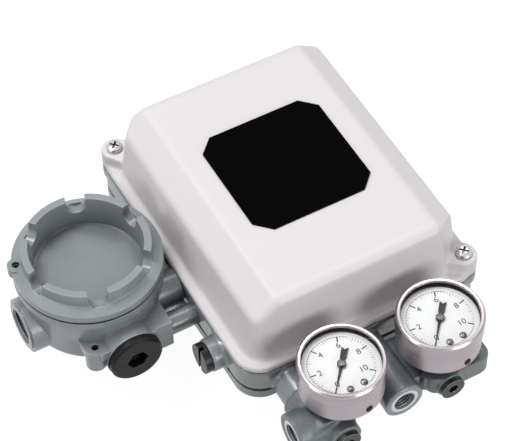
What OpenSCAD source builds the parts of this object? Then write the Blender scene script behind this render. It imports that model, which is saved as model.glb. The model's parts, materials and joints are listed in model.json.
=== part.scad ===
// Electro-pneumatic valve positioner: a cast body with a deep cover, two pressure
// gauges on port blocks, and a round terminal box with a screwed lid at its side.
// Millimetres. +Z points out of the cover, +Y away from the gauges, and the rear
// mounting face lies at z = 0.

/* [Body] */
// Outside width of the body
body_w = 134.6; // [124:0.1:160]
// Outside length of the body
body_l = 164.6; // [158:0.1:190]
// Corner radius of the body
body_r = 14; // [11:0.5:18]
// Wall of the cast body
body_wall = 4.5; // [3.5:0.1:6]
// Floor of the cast body
floor_t = 4; // [3:0.1:6]
// Height of the body from its rear joint to its rim
body_h = 13.2; // [12.6:0.1:18]
// Gasket under the body
rear_gasket_t = 1.2; // [0.8:0.1:2]
// Gasket under the cover
cover_gasket_t = 0.6; // [0.4:0.1:1]

/* [Rear plate] */
// Thickness of the rear plate's lip
lip_t = 5; // [4:0.1:7]
// Height of the mounting pad behind the lip
pad_h = 10; // [8:0.1:14]
// Width of the mounting pad
pad_w = 98; // [88:0.5:100]
// Length of the mounting pad
pad_l = 126; // [116:0.5:128]
// Corner radius of the mounting pad
pad_r = 12; // [8:0.5:16]
// Wall of the mounting pad
pad_wall = 5; // [4:0.1:7]
// Distance between the mounting holes across X
mount_x = 60; // [50:1:66]
// Distance between the mounting holes along Y
mount_y = 90; // [80:1:96]
// Radius of the tapped mounting holes
mount_hole_r = 3.4; // [2.5:0.1:4.2]
// Depth of the tapped mounting holes
mount_depth = 12; // [8:0.5:13]
// Radius of the rear screws
rear_screw_r = 2.5; // [2:0.1:3]
// Distance of the rear screws from the body's edges
rear_screw_in = 11.3; // [10.5:0.1:12.5]

/* [Cover] */
// Height of the cover above its gasket
cover_h = 40; // [38:0.5:60]
// Thickness of the cover's flange
flange_t = 4; // [3:0.1:6]
// Width of the cover's flange outside its wall
flange_w = 4.9; // [3.5:0.1:7]
// Corner radius at the foot of the cover's wall
foot_r = 9.5; // [7:0.5:12]
// Wall of the cover
cover_wall = 3; // [2:0.1:4]
// Radius of the soft edge round the top face
top_soft_r = 5.5; // [4.5:0.1:8]
// Radius of the soft edge at the side shoulders
shoulder_soft_r = 6; // [4.5:0.1:9]
// Inset of the top face from the wall's foot at the sides
top_in_x = 13.3; // [9:0.1:18]
// Inset of the shoulders from the wall's foot at the sides
shoulder_in_x = 3.2; // [2:0.1:6]
// Inset of the wall's top at the gauge side
top_in_front = 3.6; // [2:0.1:7]
// Inset of the wall's top at the far side
top_in_back = 7; // [4:0.1:10]
// Drop of the shoulders below the top face
shoulder_drop = 7; // [4:0.1:10]
// Radius of the two screw lugs
lug_r = 7; // [5.5:0.1:8]
// Half width of the lugs at their feet
lug_foot = 8.4; // [8:0.1:9.5]
// Distance of the cover's flat corner faces from the lug screws
corner_in = 7.2; // [6:0.1:9]
// Lean of the flat corner faces
corner_lean = 6; // [2:0.5:9]
// Height of the lugs on the cover
lug_h = 11; // [8:0.1:14]
// Height of the lugs on the body
body_lug_h = 6.4; // [5:0.1:8]
// Distance of the lugs in from the body's sides
lug_in_x = 7.1; // [6.5:0.1:9]
// Distance of the lugs in from the body's ends
lug_in_y = 8.6; // [7:0.1:10]
// Radius of the cover screws
cover_screw_r = 2; // [1.5:0.1:2.5]
// Radius of the cover screws' heads
cover_head_r = 4.2; // [3.5:0.1:5]
// Side of the label
label_s = 67; // [50:0.5:72]
// Corner cut of the label
label_cut = 8; // [4:0.5:14]
// Thickness of the label
label_t = 0.8; // [0.4:0.1:1.5]

/* [Terminal box] */
// Radius of the box at its rim
box_r = 37.6; // [35:0.1:40]
// Radius of the box at its bottom
box_foot_r = 33.8; // [32.5:0.1:36]
// Height of the box
box_h = 33.6; // [33:0.1:42]
// Radius inside the box
box_in_r = 29.5; // [28:0.1:30.5]
// Thickness of the box's floor
box_floor = 4; // [3:0.1:5]
// Place of the box along Y
box_y = 11; // [0:0.5:20]
// Height of the conduit axes above the box's bottom
conduit_up = 10; // [9:0.1:14]
// Radius of the conduit threads
conduit_r = 9.3; // [8:0.1:10.2]
// Radius of the conduit boss
conduit_boss_r = 14.4; // [13:0.1:16]
// Radius of the wire passages behind the conduit threads
wire_hole_r = 5.6; // [4:0.1:5.8]
// Distance of the side conduit's face from the box's axis
conduit_side = 40; // [38.5:0.1:46]
// Distance of the front conduit's face from the box's axis
conduit_front = 44.6; // [42:0.1:50]
// Offset of the side conduit from the box's axis
side_off = 2.2; // [0:0.1:4]
// Offset of the front conduit from the box's axis
conduit_off = 1.5; // [0:0.1:4]
// Radius of the plug's head
plug_r = 14; // [12:0.1:15]
// Thickness of the plug's head
plug_t = 3.4; // [2.5:0.1:6]
// Thickness of the plug's gasket
plug_gasket_t = 0.8; // [0.5:0.1:1.5]
// Width across the plug's hexagon socket
plug_hex = 10; // [6:0.5:12]

/* [Terminal lid] */
// Radius of the lid
lid_r = 37.6; // [36.6:0.1:42]
// Thickness of the lid's edge
lid_edge = 4; // [2.5:0.1:5]
// Rise of the lid's sloping ring
lid_slope = 2.5; // [1:0.1:4]
// Outside radius of the toothed ring on the lid
ring_r = 32.6; // [32:0.1:34]
// Wall of the toothed ring
ring_wall = 4; // [3:0.1:5]
// Height of the toothed ring
ring_h = 7.2; // [5:0.1:9]
// Depth of the lid's recess below the foot of the ring
recess = 10.5; // [8:0.1:12]
// Draft of the recess
recess_draft = 1.1; // [0.3:0.1:2]
// Floor of the lid
lid_floor = 3.5; // [2.5:0.1:4.5]
// Width of the spanner notches
notch_w = 10; // [6:0.1:13]
// Depth of the spanner notches
notch_d = 9; // [6:0.1:10]
// Number of spanner notches
notch_n = 6; // [4:1:8]
// Seal under the lid
o_ring_t = 1.4; // [0.5:0.1:1.5]
// Radius of the lid's thread
lid_thread_r = 31; // [30.7:0.1:32]
// Radius of the lock lug
lock_lug_r = 4.4; // [3.5:0.1:5]
// Radius of the lock screw
lock_r = 1.9; // [1.2:0.1:2.3]

/* [Gauges] */
// Outside radius of the bezel
gauge_r = 21.75; // [20:0.05:25]
// Height of the bezel
bezel_h = 9; // [7:0.1:12]
// Height of the case below the bezel
case_h = 11; // [8:0.1:15]
// Wall of the gauge case
gauge_wall = 1.2; // [0.8:0.1:1.8]
// Depth of the glass below the bezel's top
glass_drop = 1.4; // [0.8:0.1:2.5]
// Width of the bezel's lip over the dial
bezel_lip = 0.3; // [0.2:0.1:1]
// Radius of the vent hole in the case
vent_r = 1.5; // [1:0.1:1.6]
// Thickness of the glass
glass_t = 1.2; // [0.8:0.1:2]
// Gap from the dial to the glass
dial_gap = 2.4; // [2.2:0.1:4]
// Thickness of the dial
dial_t = 0.6; // [0.4:0.1:1]
// Length of the pointer from its axis to its tip
pointer_l = 16.4; // [12:0.1:17]
// Length of the pointer's tail
pointer_tail = 10; // [6:0.1:11]
// Distance between the two gauges
gauge_pitch = 55; // [52:0.5:70]
// Place of the middle between the gauges
gauge_mid = -2.5; // [-6:0.5:4]
// Distance of the gauges' axes from the body
gauge_out = 24.7; // [24.2:0.1:36]
// Angle of the scale's zero
zero_a = 229.8; // [215:0.2:240]

/* [Ports] */
// Height of the port axes above the body's rear joint
port_up = 1.8; // [1.2:0.1:5]
// Radius of the port threads
port_r = 5.7; // [4.5:0.1:6.4]
// Depth of the port threads
port_depth = 14; // [10:0.5:18]
// Radius of the bare ring round each port
port_ring_r = 8.2; // [7.2:0.1:9]
// Length of the supply boss
supply_l = 40; // [36:0.5:48]
// Radius of the supply boss at its face
supply_r = 10.6; // [9.6:0.1:12]
// Radius of the supply boss at its root
supply_root_r = 9.6; // [9:0.1:11]
// Length of the pillars that carry the gauge blocks
pillar_l = 14; // [10:0.5:16]
// Radius of the pillars
pillar_r = 9.5; // [8.5:0.1:10.5]
// Distance of the left pillar from the left gauge's axis
left_pillar = 14.5; // [10:0.1:18]
// Distance of the right pillar from the right gauge's axis
right_pillar = 11.5; // [8:0.1:16]
// Radius of the gauge blocks' round limbs
block_r = 11; // [10:0.1:12.5]
// Distance of the left outlet's face from the left gauge's axis
outlet_out = 30; // [27:0.1:34]
// Height of the gauge stems between block and case
stem_gap = 4; // [3:0.1:7]
// Radius of the gauge stem's thread
stem_r = 4.8; // [4:0.1:6]
// Radius of the block plugs
block_plug_r = 6.4; // [5.5:0.1:7.5]

/* [Selector] */
// Distance of the selector from the body's middle
selector_y = 52.5; // [44:0.5:58]
// Height of the selector above the body's rear joint
selector_up = 4.1; // [3.6:0.1:5]
// Radius of the selector's boss
selector_boss_r = 8.7; // [8.2:0.1:8.9]
// Length of the selector's boss
selector_boss_l = 6.8; // [5:0.1:10]
// Radius of the selector's cap
selector_r = 8; // [6:0.1:8.4]
// Thickness of the selector's cap
selector_t = 3.6; // [3:0.1:6]
// Width of the selector's slot
slot_w = 2.2; // [1.2:0.1:3.5]
// Radius of the selector's spindle
spindle_r = 3; // [2:0.1:3.4]

/* [Supports] */
// Radius of the support pillar between body and box
support_r = 5.8; // [4:0.1:7]
// Place of the support pillar along Y
support_y = -26; // [-30:0.5:-24]
// Height of the support pillar above the body's rear joint
support_up = 4; // [3.5:0.1:6]
// Length of the support pillar
support_l = 14.7; // [12:0.1:18]
// Radius of the wire nipple
nipple_r = 3.6; // [3:0.1:4.2]
// Place of the wire nipple along Y
nipple_y = -8; // [-9:0.5:0]
// Wall of the cast neck around the wire nipple
neck_wall = 5.2; // [3:0.1:6]

/* [Feedback] */
// Place of the feedback shaft along X
shaft_x = 30; // [26:0.5:34]
// Place of the feedback shaft along Y
shaft_y = 30; // [28:0.5:34]
// Radius of the feedback shaft
shaft_r = 5; // [4:0.1:5.6]
// Length of the shaft's free end behind the body
shaft_free = 28; // [20:0.5:40]
// Wall of the shaft's bush
bush_wall = 2; // [1.5:0.1:3]
// Length of the span arm from the shaft to the end of its slot
arm_l = 36; // [34:0.5:40]
// Distance of the span pin from the shaft
pin_at = 18; // [17:0.5:28]
// Width of the span arm
arm_w = 10; // [8:0.1:12]
// Thickness of the span arm
arm_t = 3; // [2:0.1:4]

/* [Motor and beam] */
// Height of the beam's axis above the body floor
beam_up = 11.8; // [11.5:0.1:13]
// Thickness of the beam
beam_t = 3; // [2.5:0.1:3.4]
// Width of the beam
beam_w = 6; // [5:0.1:7]
// Reach of the beam from its pivot to the motor's gap
beam_right = 45; // [44:0.5:46]
// Reach of the beam from its pivot to the nozzle end
beam_left = 42; // [40:0.5:44]
// Place of the beam's pivot along X
pivot_x = -2; // [-4:0.5:0]
// Air gap above and below the beam in the motor
air_gap = 0.9; // [0.7:0.1:1.4]
// Outside size of the coil
coil_s = 17; // [15:0.1:18]
// Length of the coil
coil_l = 18; // [14:0.5:19]
// Width of the motor's yoke
yoke_w = 20; // [18:0.5:22]
// Thickness of the yoke's plates
yoke_t = 3; // [2.5:0.1:3.5]
// Radius of the feedback spring
spring_r = 3.2; // [2.6:0.1:3.6]
// Length of the feedback spring's coil
spring_l = 20; // [14:0.5:22]
// Radius of the springs' wire
wire_r = 0.4; // [0.3:0.05:0.5]
// Radius of the zero wheel
zero_r = 8; // [6:0.1:9]
// Thickness of the zero wheel
zero_t = 5; // [4:0.1:6]

/* [Relay] */
// Side of the pilot relay's body
relay_s = 34; // [30:0.5:36]
// Height of the pilot relay's body
relay_h = 17; // [13:0.5:19]
// Radius of the relay's round cover
relay_cap_r = 16; // [14:0.5:17]
// Height of the relay's round cover
relay_cap_h = 8; // [5:0.5:10]

/* [Clearances] */
// Radial clearance of turning shafts
run_c = 0.05; // [0.02:0.01:0.09]
// Radial clearance of screws and spigots
screw_c = 0.1; // [0.05:0.01:0.2]
// Side clearance between moving pieces
side_c = 0.4; // [0.3:0.05:0.8]
// Gap from the lid to the cover's flange
box_gap = 1.2; // [0.8:0.1:3]

/* [Hidden] */
$fn = 64;
hx = body_w / 2;
hy = body_l / 2;
z_lip = pad_h;
z_joint = pad_h + lip_t;
z_body = z_joint + rear_gasket_t;
z_floor = z_body + floor_t;
z_rim = z_body + body_h;
z_cover = z_rim + cover_gasket_t;
z_top = z_cover + cover_h;
z_lug = z_cover + lug_h;
lug_x = hx - lug_in_x;
lug_y = hy - lug_in_y;
foot_w = body_w - 2 * flange_w;
foot_l = body_l - 2 * flange_w;
port_z = z_body + port_up;
gauge_y = -hy - gauge_out;
gauge_xs = [gauge_mid - gauge_pitch / 2, gauge_mid + gauge_pitch / 2];
block_top = port_z + 12.2;
z_case = block_top + stem_gap;
z_bezel = z_case + case_h;
z_gauge = z_bezel + bezel_h;
z_glass = z_gauge - glass_drop - glass_t;
z_dial = z_glass - dial_gap - dial_t;
case_r = gauge_r - 0.5;
dial_r = case_r - gauge_wall - 0.4;
box_x = -(hx + box_gap + lid_r);
box_z = pad_h;
z_box_rim = box_z + box_h;
z_lid = z_box_rim + o_ring_t;
z_ring = z_lid + lid_edge + lid_slope;
z_conduit = box_z + conduit_up;
side_y = box_y - side_off;
plug_x = box_x + conduit_off;
earth_x = box_x - conduit_boss_r - 1.5;
earth_y = box_y - conduit_front + 7;
support_z = z_body + support_up;
nipple_z = z_floor + nipple_r + 0.2;
selector_z = z_body + selector_up;
bush_r = shaft_r + run_c + bush_wall;
z_bush_top = z_floor + 6;
beam_z = z_floor + beam_up;
beam_y = shaft_y - arm_l;
z_arm = beam_z + 16;
z_spring = z_arm + arm_t + 4;
nozzle_x = pivot_x - beam_left + 6;
zero_x = pivot_x - 22;
z_zero = beam_z + 19;
relay_x = -28;
relay_y = beam_y - 20 - relay_s / 2;

// Rounded rectangle centred on the origin
module plan(w, l, r) {
  union() {
    square([w - 2 * r, l], center = true);
    square([w, l - 2 * r], center = true);
    for (sx = [-1, 1])
      for (sy = [-1, 1])
        translate([sx * (w / 2 - r), sy * (l / 2 - r)])
          circle(r = r);
  }
}

// Round bar along X between two places
module bar_x(x0, x1, y, z, r) {
  translate([x0, y, z])
    rotate([0, 90, 0])
      cylinder(h = x1 - x0, r = r);
}

// Round bar along Y between two places
module bar_y(y0, y1, x, z, r) {
  translate([x, y1, z])
    rotate([90, 0, 0])
      cylinder(h = y1 - y0, r = r);
}

// Places of the two diagonal cover lugs
module at_lugs() {
  for (s = [-1, 1])
    translate([s * lug_x, -s * lug_y, 0])
      rotate([0, 0, 45 - 90 * s])
        children();
}

// Outline of a lug: round tip on a wider foot towards the cover
module lug_plan() {
  union() {
    circle(r = lug_r);
    polygon([[-corner_in - 2.5, -lug_foot], [0, -lug_r], [0, lug_r], [-corner_in - 2.5, lug_foot]]);
  }
}

// Space in front of the cover's flat corner faces
module corner_space(inset, z0) {
  at_lugs() {
    translate([-corner_in - inset, -40, z0])
      cube([60, 80, z_lug + 3 - z0]);
    translate([-corner_in - inset, -40, z_lug])
      rotate([0, -corner_lean, 0])
        cube([60, 80, cover_h]);
  }
}

// Places of the four rear screws
module at_rear_screws() {
  for (sx = [-1, 1])
    for (sy = [-1, 1])
      translate([sx * (hx - rear_screw_in), sy * (hy - rear_screw_in), 0])
        children();
}

// Screw with a domed head on z = 0 and its shank below, with a cross recess
module pan_screw(r, head_r, head_h, l) {
  difference() {
    union() {
      translate([0, 0, -l])
        cylinder(h = l + 0.1, r = r);
      rotate_extrude()
        polygon([[0, 0], [head_r, 0], [head_r, head_h * 0.45], [head_r * 0.86, head_h * 0.8],
          [head_r * 0.55, head_h], [0, head_h]]);
    }
    for (a = [0, 90])
      rotate([0, 0, a])
        translate([-head_r * 0.6, -head_r * 0.13, head_h * 0.35])
          cube([head_r * 1.2, head_r * 0.26, head_h]);
  }
}

// Coil of a close spring, as a stack of rings along Z between two heights
module ring_coil(z0, z1, r, w, n) {
  pitch = (z1 - z0 - 2 * w) / (n - 1);
  for (i = [0 : n - 1])
    translate([0, 0, z0 + w + i * pitch])
      rotate_extrude($fn = 24)
        translate([r, 0])
          circle(r = w, $fn = 16);
}

// Close-wound coil along Z between two heights
module wound_coil(z0, z1, r, w) {
  n = floor((z1 - z0 - 2 * w) / (1.7 * w));
  pitch = (z1 - z0 - 2 * w) / n;
  translate([0, 0, z0 + w])
    rotate_extrude($fn = 32)
      for (i = [0 : n])
        translate([r, i * pitch])
          circle(r = w, $fn = 16);
}

// Bosses on the sides of the body: supply port, two pillars and the selector
module side_bosses() {
  difference() {
    union() {
      translate([gauge_mid, -hy + 2, port_z])
        rotate([90, 0, 0])
          cylinder(h = supply_l + 2, r1 = supply_root_r, r2 = supply_r);
      for (x = [gauge_xs[0] - left_pillar, gauge_xs[1] + right_pillar])
        bar_y(-hy - pillar_l, -hy + 2, x, port_z, pillar_r);
      bar_x(-hx - selector_boss_l, -hx + 2, -selector_y, selector_z, selector_boss_r);
      bar_x(-hx + 1, -hx + body_wall + 10, -selector_y, selector_z, spindle_r + 2.5);
    }
    translate([0, 0, -1])
      linear_extrude(z_body + 1)
        plan(body_w + 2 * side_c, body_l + 2 * side_c, body_r + side_c);
    translate([0, 0, z_rim])
      linear_extrude(20)
        plan(body_w, body_l, body_r);
  }
}

// Cast body: open tray with port and selector bosses and two screw lugs
module body_case() {
  color("lightslategray")
    difference() {
      union() {
        difference() {
          union() {
            translate([0, 0, z_body])
              linear_extrude(body_h - body_lug_h)
                plan(body_w, body_l, body_r);
            translate([0, 0, z_rim - body_lug_h])
              linear_extrude(body_lug_h)
                union() {
                  plan(body_w, body_l, body_r);
                  at_lugs()
                    lug_plan();
                }
          }
          translate([0, 0, z_floor])
            linear_extrude(body_h)
              plan(body_w - 2 * body_wall, body_l - 2 * body_wall, body_r - body_wall);
        }
        side_bosses();
        at_rear_screws()
          translate([0, 0, z_body])
            cylinder(h = floor_t + 5, r = rear_screw_r + 3);
        at_lugs()
          translate([0, 0, z_rim - body_lug_h])
            cylinder(h = body_lug_h - 0.4, r = cover_screw_r + 2);
        translate([shaft_x, shaft_y, z_body])
          cylinder(h = z_bush_top - z_body, r = bush_r + 3);
      }
      at_rear_screws()
        translate([0, 0, z_body - 1])
          cylinder(h = floor_t + 3.3, r = rear_screw_r + screw_c);
      at_lugs()
        translate([0, 0, z_rim - body_lug_h + 1])
          cylinder(h = body_lug_h, r = cover_screw_r + screw_c);
      translate([shaft_x, shaft_y, z_body - 1])
        cylinder(h = 40, r = bush_r + screw_c / 2);
      bar_y(-hy - supply_l - 1, -hy - supply_l + port_depth, gauge_mid, port_z, port_r);
      bar_y(-hy - supply_l - 1, -hy - supply_l + 0.5, gauge_mid, port_z, port_ring_r);
      bar_y(-hy - supply_l, -hy - 4, gauge_mid, port_z, 2.4);
      for (x = [gauge_xs[0] - left_pillar, gauge_xs[1] + right_pillar])
        bar_y(-hy - pillar_l - 1, -hy - 3, x, port_z, port_r);
      bar_x(-hx - selector_boss_l - 1, -hx + body_wall + 8, -selector_y, selector_z, spindle_r + run_c);
      bar_x(-hx - 1, -hx + body_wall + 1, support_y, support_z, support_r / 2 + screw_c);
      bar_x(-hx - 1, -hx + body_wall + 1, nipple_y, nipple_z, nipple_r + screw_c);
    }
}

// Rear plate: lip round the body's outline and a hollow mounting pad
module rear_plate() {
  color("slategray")
    difference() {
      union() {
        difference() {
          union() {
            translate([0, 0, z_lip])
              linear_extrude(lip_t)
                plan(body_w, body_l, body_r);
            linear_extrude(z_lip + 1)
              plan(pad_w, pad_l, pad_r);
          }
          translate([0, 0, pad_wall])
            linear_extrude(z_joint)
              plan(pad_w - 2 * pad_wall, pad_l - 2 * pad_wall, pad_r - pad_wall);
        }
        for (sx = [-1, 1])
          for (sy = [-1, 1])
            translate([sx * mount_x / 2, sy * mount_y / 2, 0])
              cylinder(h = z_joint, r = mount_hole_r + 4);
        translate([shaft_x, shaft_y, 0])
          cylinder(h = z_joint, r = bush_r + 4);
      }
      for (sx = [-1, 1])
        for (sy = [-1, 1])
          translate([sx * mount_x / 2, sy * mount_y / 2, -1])
            cylinder(h = mount_depth + 1, r = mount_hole_r);
      translate([shaft_x, shaft_y, -1])
        cylinder(h = 60, r = bush_r + screw_c / 2);
      at_rear_screws()
        translate([0, 0, z_lip - 1])
          cylinder(h = lip_t + 2, r = rear_screw_r + screw_c);
    }
}

// Gasket between rear plate and body
module rear_gasket() {
  color("black")
    translate([0, 0, z_joint])
      difference() {
        linear_extrude(rear_gasket_t)
          plan(body_w - 1.2, body_l - 1.2, body_r - 0.6);
        translate([0, 0, -1])
          linear_extrude(rear_gasket_t + 2)
            plan(body_w - 3 * rear_screw_in, body_l - 3 * rear_screw_in, body_r - body_wall);
        at_rear_screws()
          translate([0, 0, -1])
            cylinder(h = rear_gasket_t + 2, r = rear_screw_r + screw_c);
      }
}

// Screws that hold the rear plate to the body, heads to the rear
module rear_screws() {
  color("silver")
    at_rear_screws()
      translate([0, 0, z_lip])
        mirror([0, 0, 1])
          pan_screw(rear_screw_r, rear_screw_r * 1.7, 3, lip_t + rear_gasket_t + floor_t + 1.8);
}

// Gasket between body and cover
module cover_gasket() {
  color("black")
    translate([0, 0, z_rim])
      difference() {
        linear_extrude(cover_gasket_t)
          plan(body_w - 1.2, body_l - 1.2, body_r - 0.6);
        translate([0, 0, -1])
          linear_extrude(cover_gasket_t + 2)
            plan(body_w - 2 * body_wall, body_l - 2 * body_wall, body_r - body_wall);
        at_lugs()
          translate([0, 0, -1])
            cylinder(h = cover_gasket_t + 2, r = cover_screw_r + 0.6);
      }
}

// Soft form of the cover's outside, or of its inside when inset by its wall
module cover_form(inset, z0) {
  hull() {
    translate([0, 0, z0])
      linear_extrude(0.5)
        plan(foot_w - 2 * inset, foot_l - 2 * inset, foot_r - inset);
    for (sx = [-1, 1]) {
      for (y = [top_in_front + shoulder_soft_r - foot_l / 2, foot_l / 2 - top_in_back - shoulder_soft_r + 2])
        translate([sx * (foot_w / 2 - shoulder_in_x - shoulder_soft_r), y,
          z_top - shoulder_drop - shoulder_soft_r])
          sphere(r = shoulder_soft_r - inset, $fn = 40);
      for (y = [top_in_front + top_soft_r - foot_l / 2, foot_l / 2 - top_in_back - top_soft_r])
        translate([sx * (foot_w / 2 - top_in_x - top_soft_r), y, z_top - top_soft_r])
          sphere(r = top_soft_r - inset, $fn = 40);
    }
  }
}

// Deep cover: flange, soft-edged shell, two flat corners and a screw lug at each
module cover() {
  color("whitesmoke")
    difference() {
      union() {
        translate([0, 0, z_cover])
          linear_extrude(flange_t)
            plan(body_w, body_l, body_r);
        cover_form(0, z_cover + flange_t - 0.5);
        at_lugs()
          translate([0, 0, z_cover])
            linear_extrude(lug_h)
              lug_plan();
      }
      difference() {
        cover_form(cover_wall, z_cover - 1);
        corner_space(cover_wall, z_cover - 2);
      }
      difference() {
        corner_space(0, z_cover + flange_t);
        at_lugs()
          translate([0, 0, z_cover])
            linear_extrude(lug_h)
              lug_plan();
      }
      at_lugs()
        translate([0, 0, z_cover - 2])
          cylinder(h = lug_h + 4, r = cover_screw_r + 0.3);
    }
}

// Bare label plate with cut corners
module cover_label() {
  color("black")
    translate([0, (top_in_front - top_in_back) / 2 + 1, z_top])
      linear_extrude(label_t)
        polygon([[label_cut - label_s / 2, -label_s / 2], [label_s / 2 - label_cut, -label_s / 2],
          [label_s / 2, label_cut - label_s / 2], [label_s / 2, label_s / 2 - label_cut],
          [label_s / 2 - label_cut, label_s / 2], [label_cut - label_s / 2, label_s / 2],
          [-label_s / 2, label_s / 2 - label_cut], [-label_s / 2, label_cut - label_s / 2]]);
}

// Captive screws of the cover
module cover_screws() {
  color("silver")
    at_lugs()
      translate([0, 0, z_lug])
        pan_screw(cover_screw_r, cover_head_r, 3, lug_h + cover_gasket_t + body_lug_h - 2);
}

// Round terminal box with two conduit bosses, an earth lug and its supports
module terminal_box() {
  block_x = -hx - support_l;
  color("lightslategray")
    difference() {
      union() {
        translate([box_x, box_y, box_z])
          rotate_extrude($fn = 96)
            polygon([[0, 0], [box_foot_r - 2, 0], [box_foot_r - 0.6, 0.6], [box_foot_r, 2],
              [box_r, box_h - 4], [box_r, box_h], [0, box_h]]);
        bar_x(box_x - conduit_side + 1, box_x - box_in_r + 1.5, side_y, z_conduit, conduit_boss_r);
        bar_x(box_x - conduit_side, box_x - box_in_r + 1.5, side_y, z_conduit, conduit_r + 3);
        bar_y(box_y - conduit_front, box_y - box_in_r + 1.5, plug_x, z_conduit, conduit_boss_r);
        translate([earth_x, box_y - conduit_front + 1, z_conduit + 4])
          cube([plug_x + conduit_boss_r - 1 - earth_x, conduit_front - box_in_r, 5]);
        translate([earth_x - 5.2, earth_y, z_conduit + 4])
          cube([10, box_y - box_in_r * 0.8 - earth_y, 5]);
        translate([earth_x, earth_y, z_conduit - 4])
          cylinder(h = 13, r = 5.2);
        translate([block_x - 16, support_y - support_r, support_z - 9])
          cube([16, 2 * support_r + 3, 18]);
        bar_x(box_x, -hx - side_c, nipple_y, nipple_z, nipple_r + neck_wall);
        translate([box_x + box_in_r + 1, box_y - 8, z_conduit - 6])
          cube([box_r - box_in_r - 1.8, 14, 14]);
      }
      translate([box_x, box_y, box_z + box_floor])
        cylinder(h = box_h, r = box_in_r, $fn = 96);
      translate([box_x, box_y, z_box_rim - recess - lid_floor + 2])
        cylinder(h = box_h, r = lid_thread_r + 0.3, $fn = 96);
      bar_x(box_x - conduit_side - 1, box_x - box_in_r - 0.5, side_y, z_conduit, conduit_r);
      bar_x(box_x - box_in_r - 1, box_x - box_in_r + 4, side_y, z_conduit, wire_hole_r);
      bar_y(box_y - conduit_front - 1, box_y - box_in_r - 2.5, plug_x, z_conduit, conduit_r);
      bar_y(box_y - box_in_r - 3, box_y - box_in_r + 4, plug_x, z_conduit, wire_hole_r);
      translate([earth_x, earth_y, z_conduit - 2])
        cylinder(h = 20, r = 1.9);
      bar_x(block_x - 8, block_x + 1, support_y, support_z, support_r / 2 + screw_c);
      bar_x(box_x, -hx, nipple_y, nipple_z, nipple_r + screw_c);
    }
}

// Screwed lid: sloping edge, toothed spanner ring, deep recess, threaded skirt and lock lug
module terminal_lid() {
  skirt = recess - lid_edge - lid_slope + lid_floor;
  color("lightslategray")
    translate([box_x, box_y, z_lid])
      difference() {
        union() {
          rotate_extrude($fn = 96)
            polygon([[0, -skirt], [lid_thread_r - 0.6, -skirt], [lid_thread_r, 0.6 - skirt],
              [lid_thread_r, 0], [lid_r, 0], [lid_r, lid_edge], [ring_r, lid_edge + lid_slope],
              [ring_r - 0.3, lid_edge + lid_slope + ring_h],
              [ring_r - ring_wall, lid_edge + lid_slope + ring_h],
              [ring_r - ring_wall - recess_draft, lid_edge + lid_slope - recess],
              [0, lid_edge + lid_slope - recess]]);
          rotate([0, 0, 161])
            translate([lid_r - 2.4, 0, 0])
              cylinder(h = lid_edge + 1.6, r = lock_lug_r);
        }
        for (i = [0 : notch_n - 1])
          rotate([0, 0, 14.3 + i * 360 / notch_n])
            translate([0, 0, lid_edge + lid_slope + ring_h - notch_d + notch_w / 2]) {
              bar_x(ring_r - ring_wall - 4, ring_r + 0.6, 0, 0, notch_w / 2);
              translate([ring_r - ring_wall - 4, -notch_w / 2, 0])
                cube([ring_wall + 4.6, notch_w, notch_d]);
            }
        rotate([0, 0, 161])
          translate([lid_r - 2.4, 0, -1])
            cylinder(h = 20, r = lock_r + screw_c);
      }
}

// Flat seal between box and lid
module lid_seal() {
  color("black")
    translate([box_x, box_y, z_box_rim])
      difference() {
        cylinder(h = o_ring_t, r = box_r - 0.3, $fn = 96);
        translate([0, 0, -1])
          cylinder(h = o_ring_t + 2, r = lid_thread_r + 0.4, $fn = 96);
      }
}

// Grub screw in the lid's lock lug
module lid_lock_screw() {
  color("dimgray")
    translate([box_x, box_y, z_lid])
      rotate([0, 0, 161])
        translate([lid_r - 2.4, 0, 0.3])
          difference() {
            cylinder(h = lid_edge, r = lock_r);
            translate([0, 0, lid_edge - 1.2])
              cylinder(h = 2, r = lock_r * 0.55, $fn = 6);
          }
}

// Terminal block on the floor of the box, with wire slots
module terminal_block() {
  color("dimgray")
    translate([box_x, box_y, box_z + box_floor])
      difference() {
        translate([-20, -8, 0])
          cube([40, 16, 11]);
        for (i = [-2 : 2])
          translate([i * 7.6 - 2.6, -9, 6])
            cube([5.2, 5, 8]);
        for (i = [-2 : 2])
          translate([i * 7.6 - 2.6, 4, 6])
            cube([5.2, 5, 8]);
        for (i = [-2 : 2])
          translate([i * 7.6, 0, 3])
            cylinder(h = 20, r = 1.5 + screw_c);
      }
}

// Screws of the terminal block
module terminal_screws() {
  color("silver")
    for (i = [-2 : 2])
      translate([box_x + i * 7.6, box_y, box_z + box_floor + 11])
        pan_screw(1.5, 2.9, 2, 7);
}

// Blanking plug of the front conduit with a hexagon socket
module conduit_plug() {
  face = box_y - conduit_front - plug_gasket_t;
  color("black")
    translate([plug_x, face, z_conduit])
      rotate([90, 0, 0])
        difference() {
          union() {
            rotate_extrude()
              polygon([[0, 0], [plug_r, 0], [plug_r, plug_t - 1], [plug_r - 1, plug_t], [0, plug_t]]);
            translate([0, 0, -9])
              cylinder(h = 9.5, r = conduit_r - screw_c);
          }
          translate([0, 0, plug_t - 5])
            cylinder(h = 8, r = plug_hex / sqrt(3), $fn = 6);
        }
}

// Gasket under the blanking plug
module plug_gasket() {
  color("black")
    difference() {
      bar_y(box_y - conduit_front - plug_gasket_t, box_y - conduit_front, plug_x, z_conduit, plug_r + 0.2);
      bar_y(box_y - conduit_front - 2, box_y - conduit_front + 1, plug_x, z_conduit, conduit_r);
    }
}

// Spacer stud that carries the box on the body's side
module support_pillar() {
  color("lightslategray")
    union() {
      bar_x(-hx - support_l, -hx, support_y, support_z, support_r);
      bar_x(-hx - support_l - 7, -hx + body_wall - 0.2, support_y, support_z, support_r / 2);
    }
}

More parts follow.
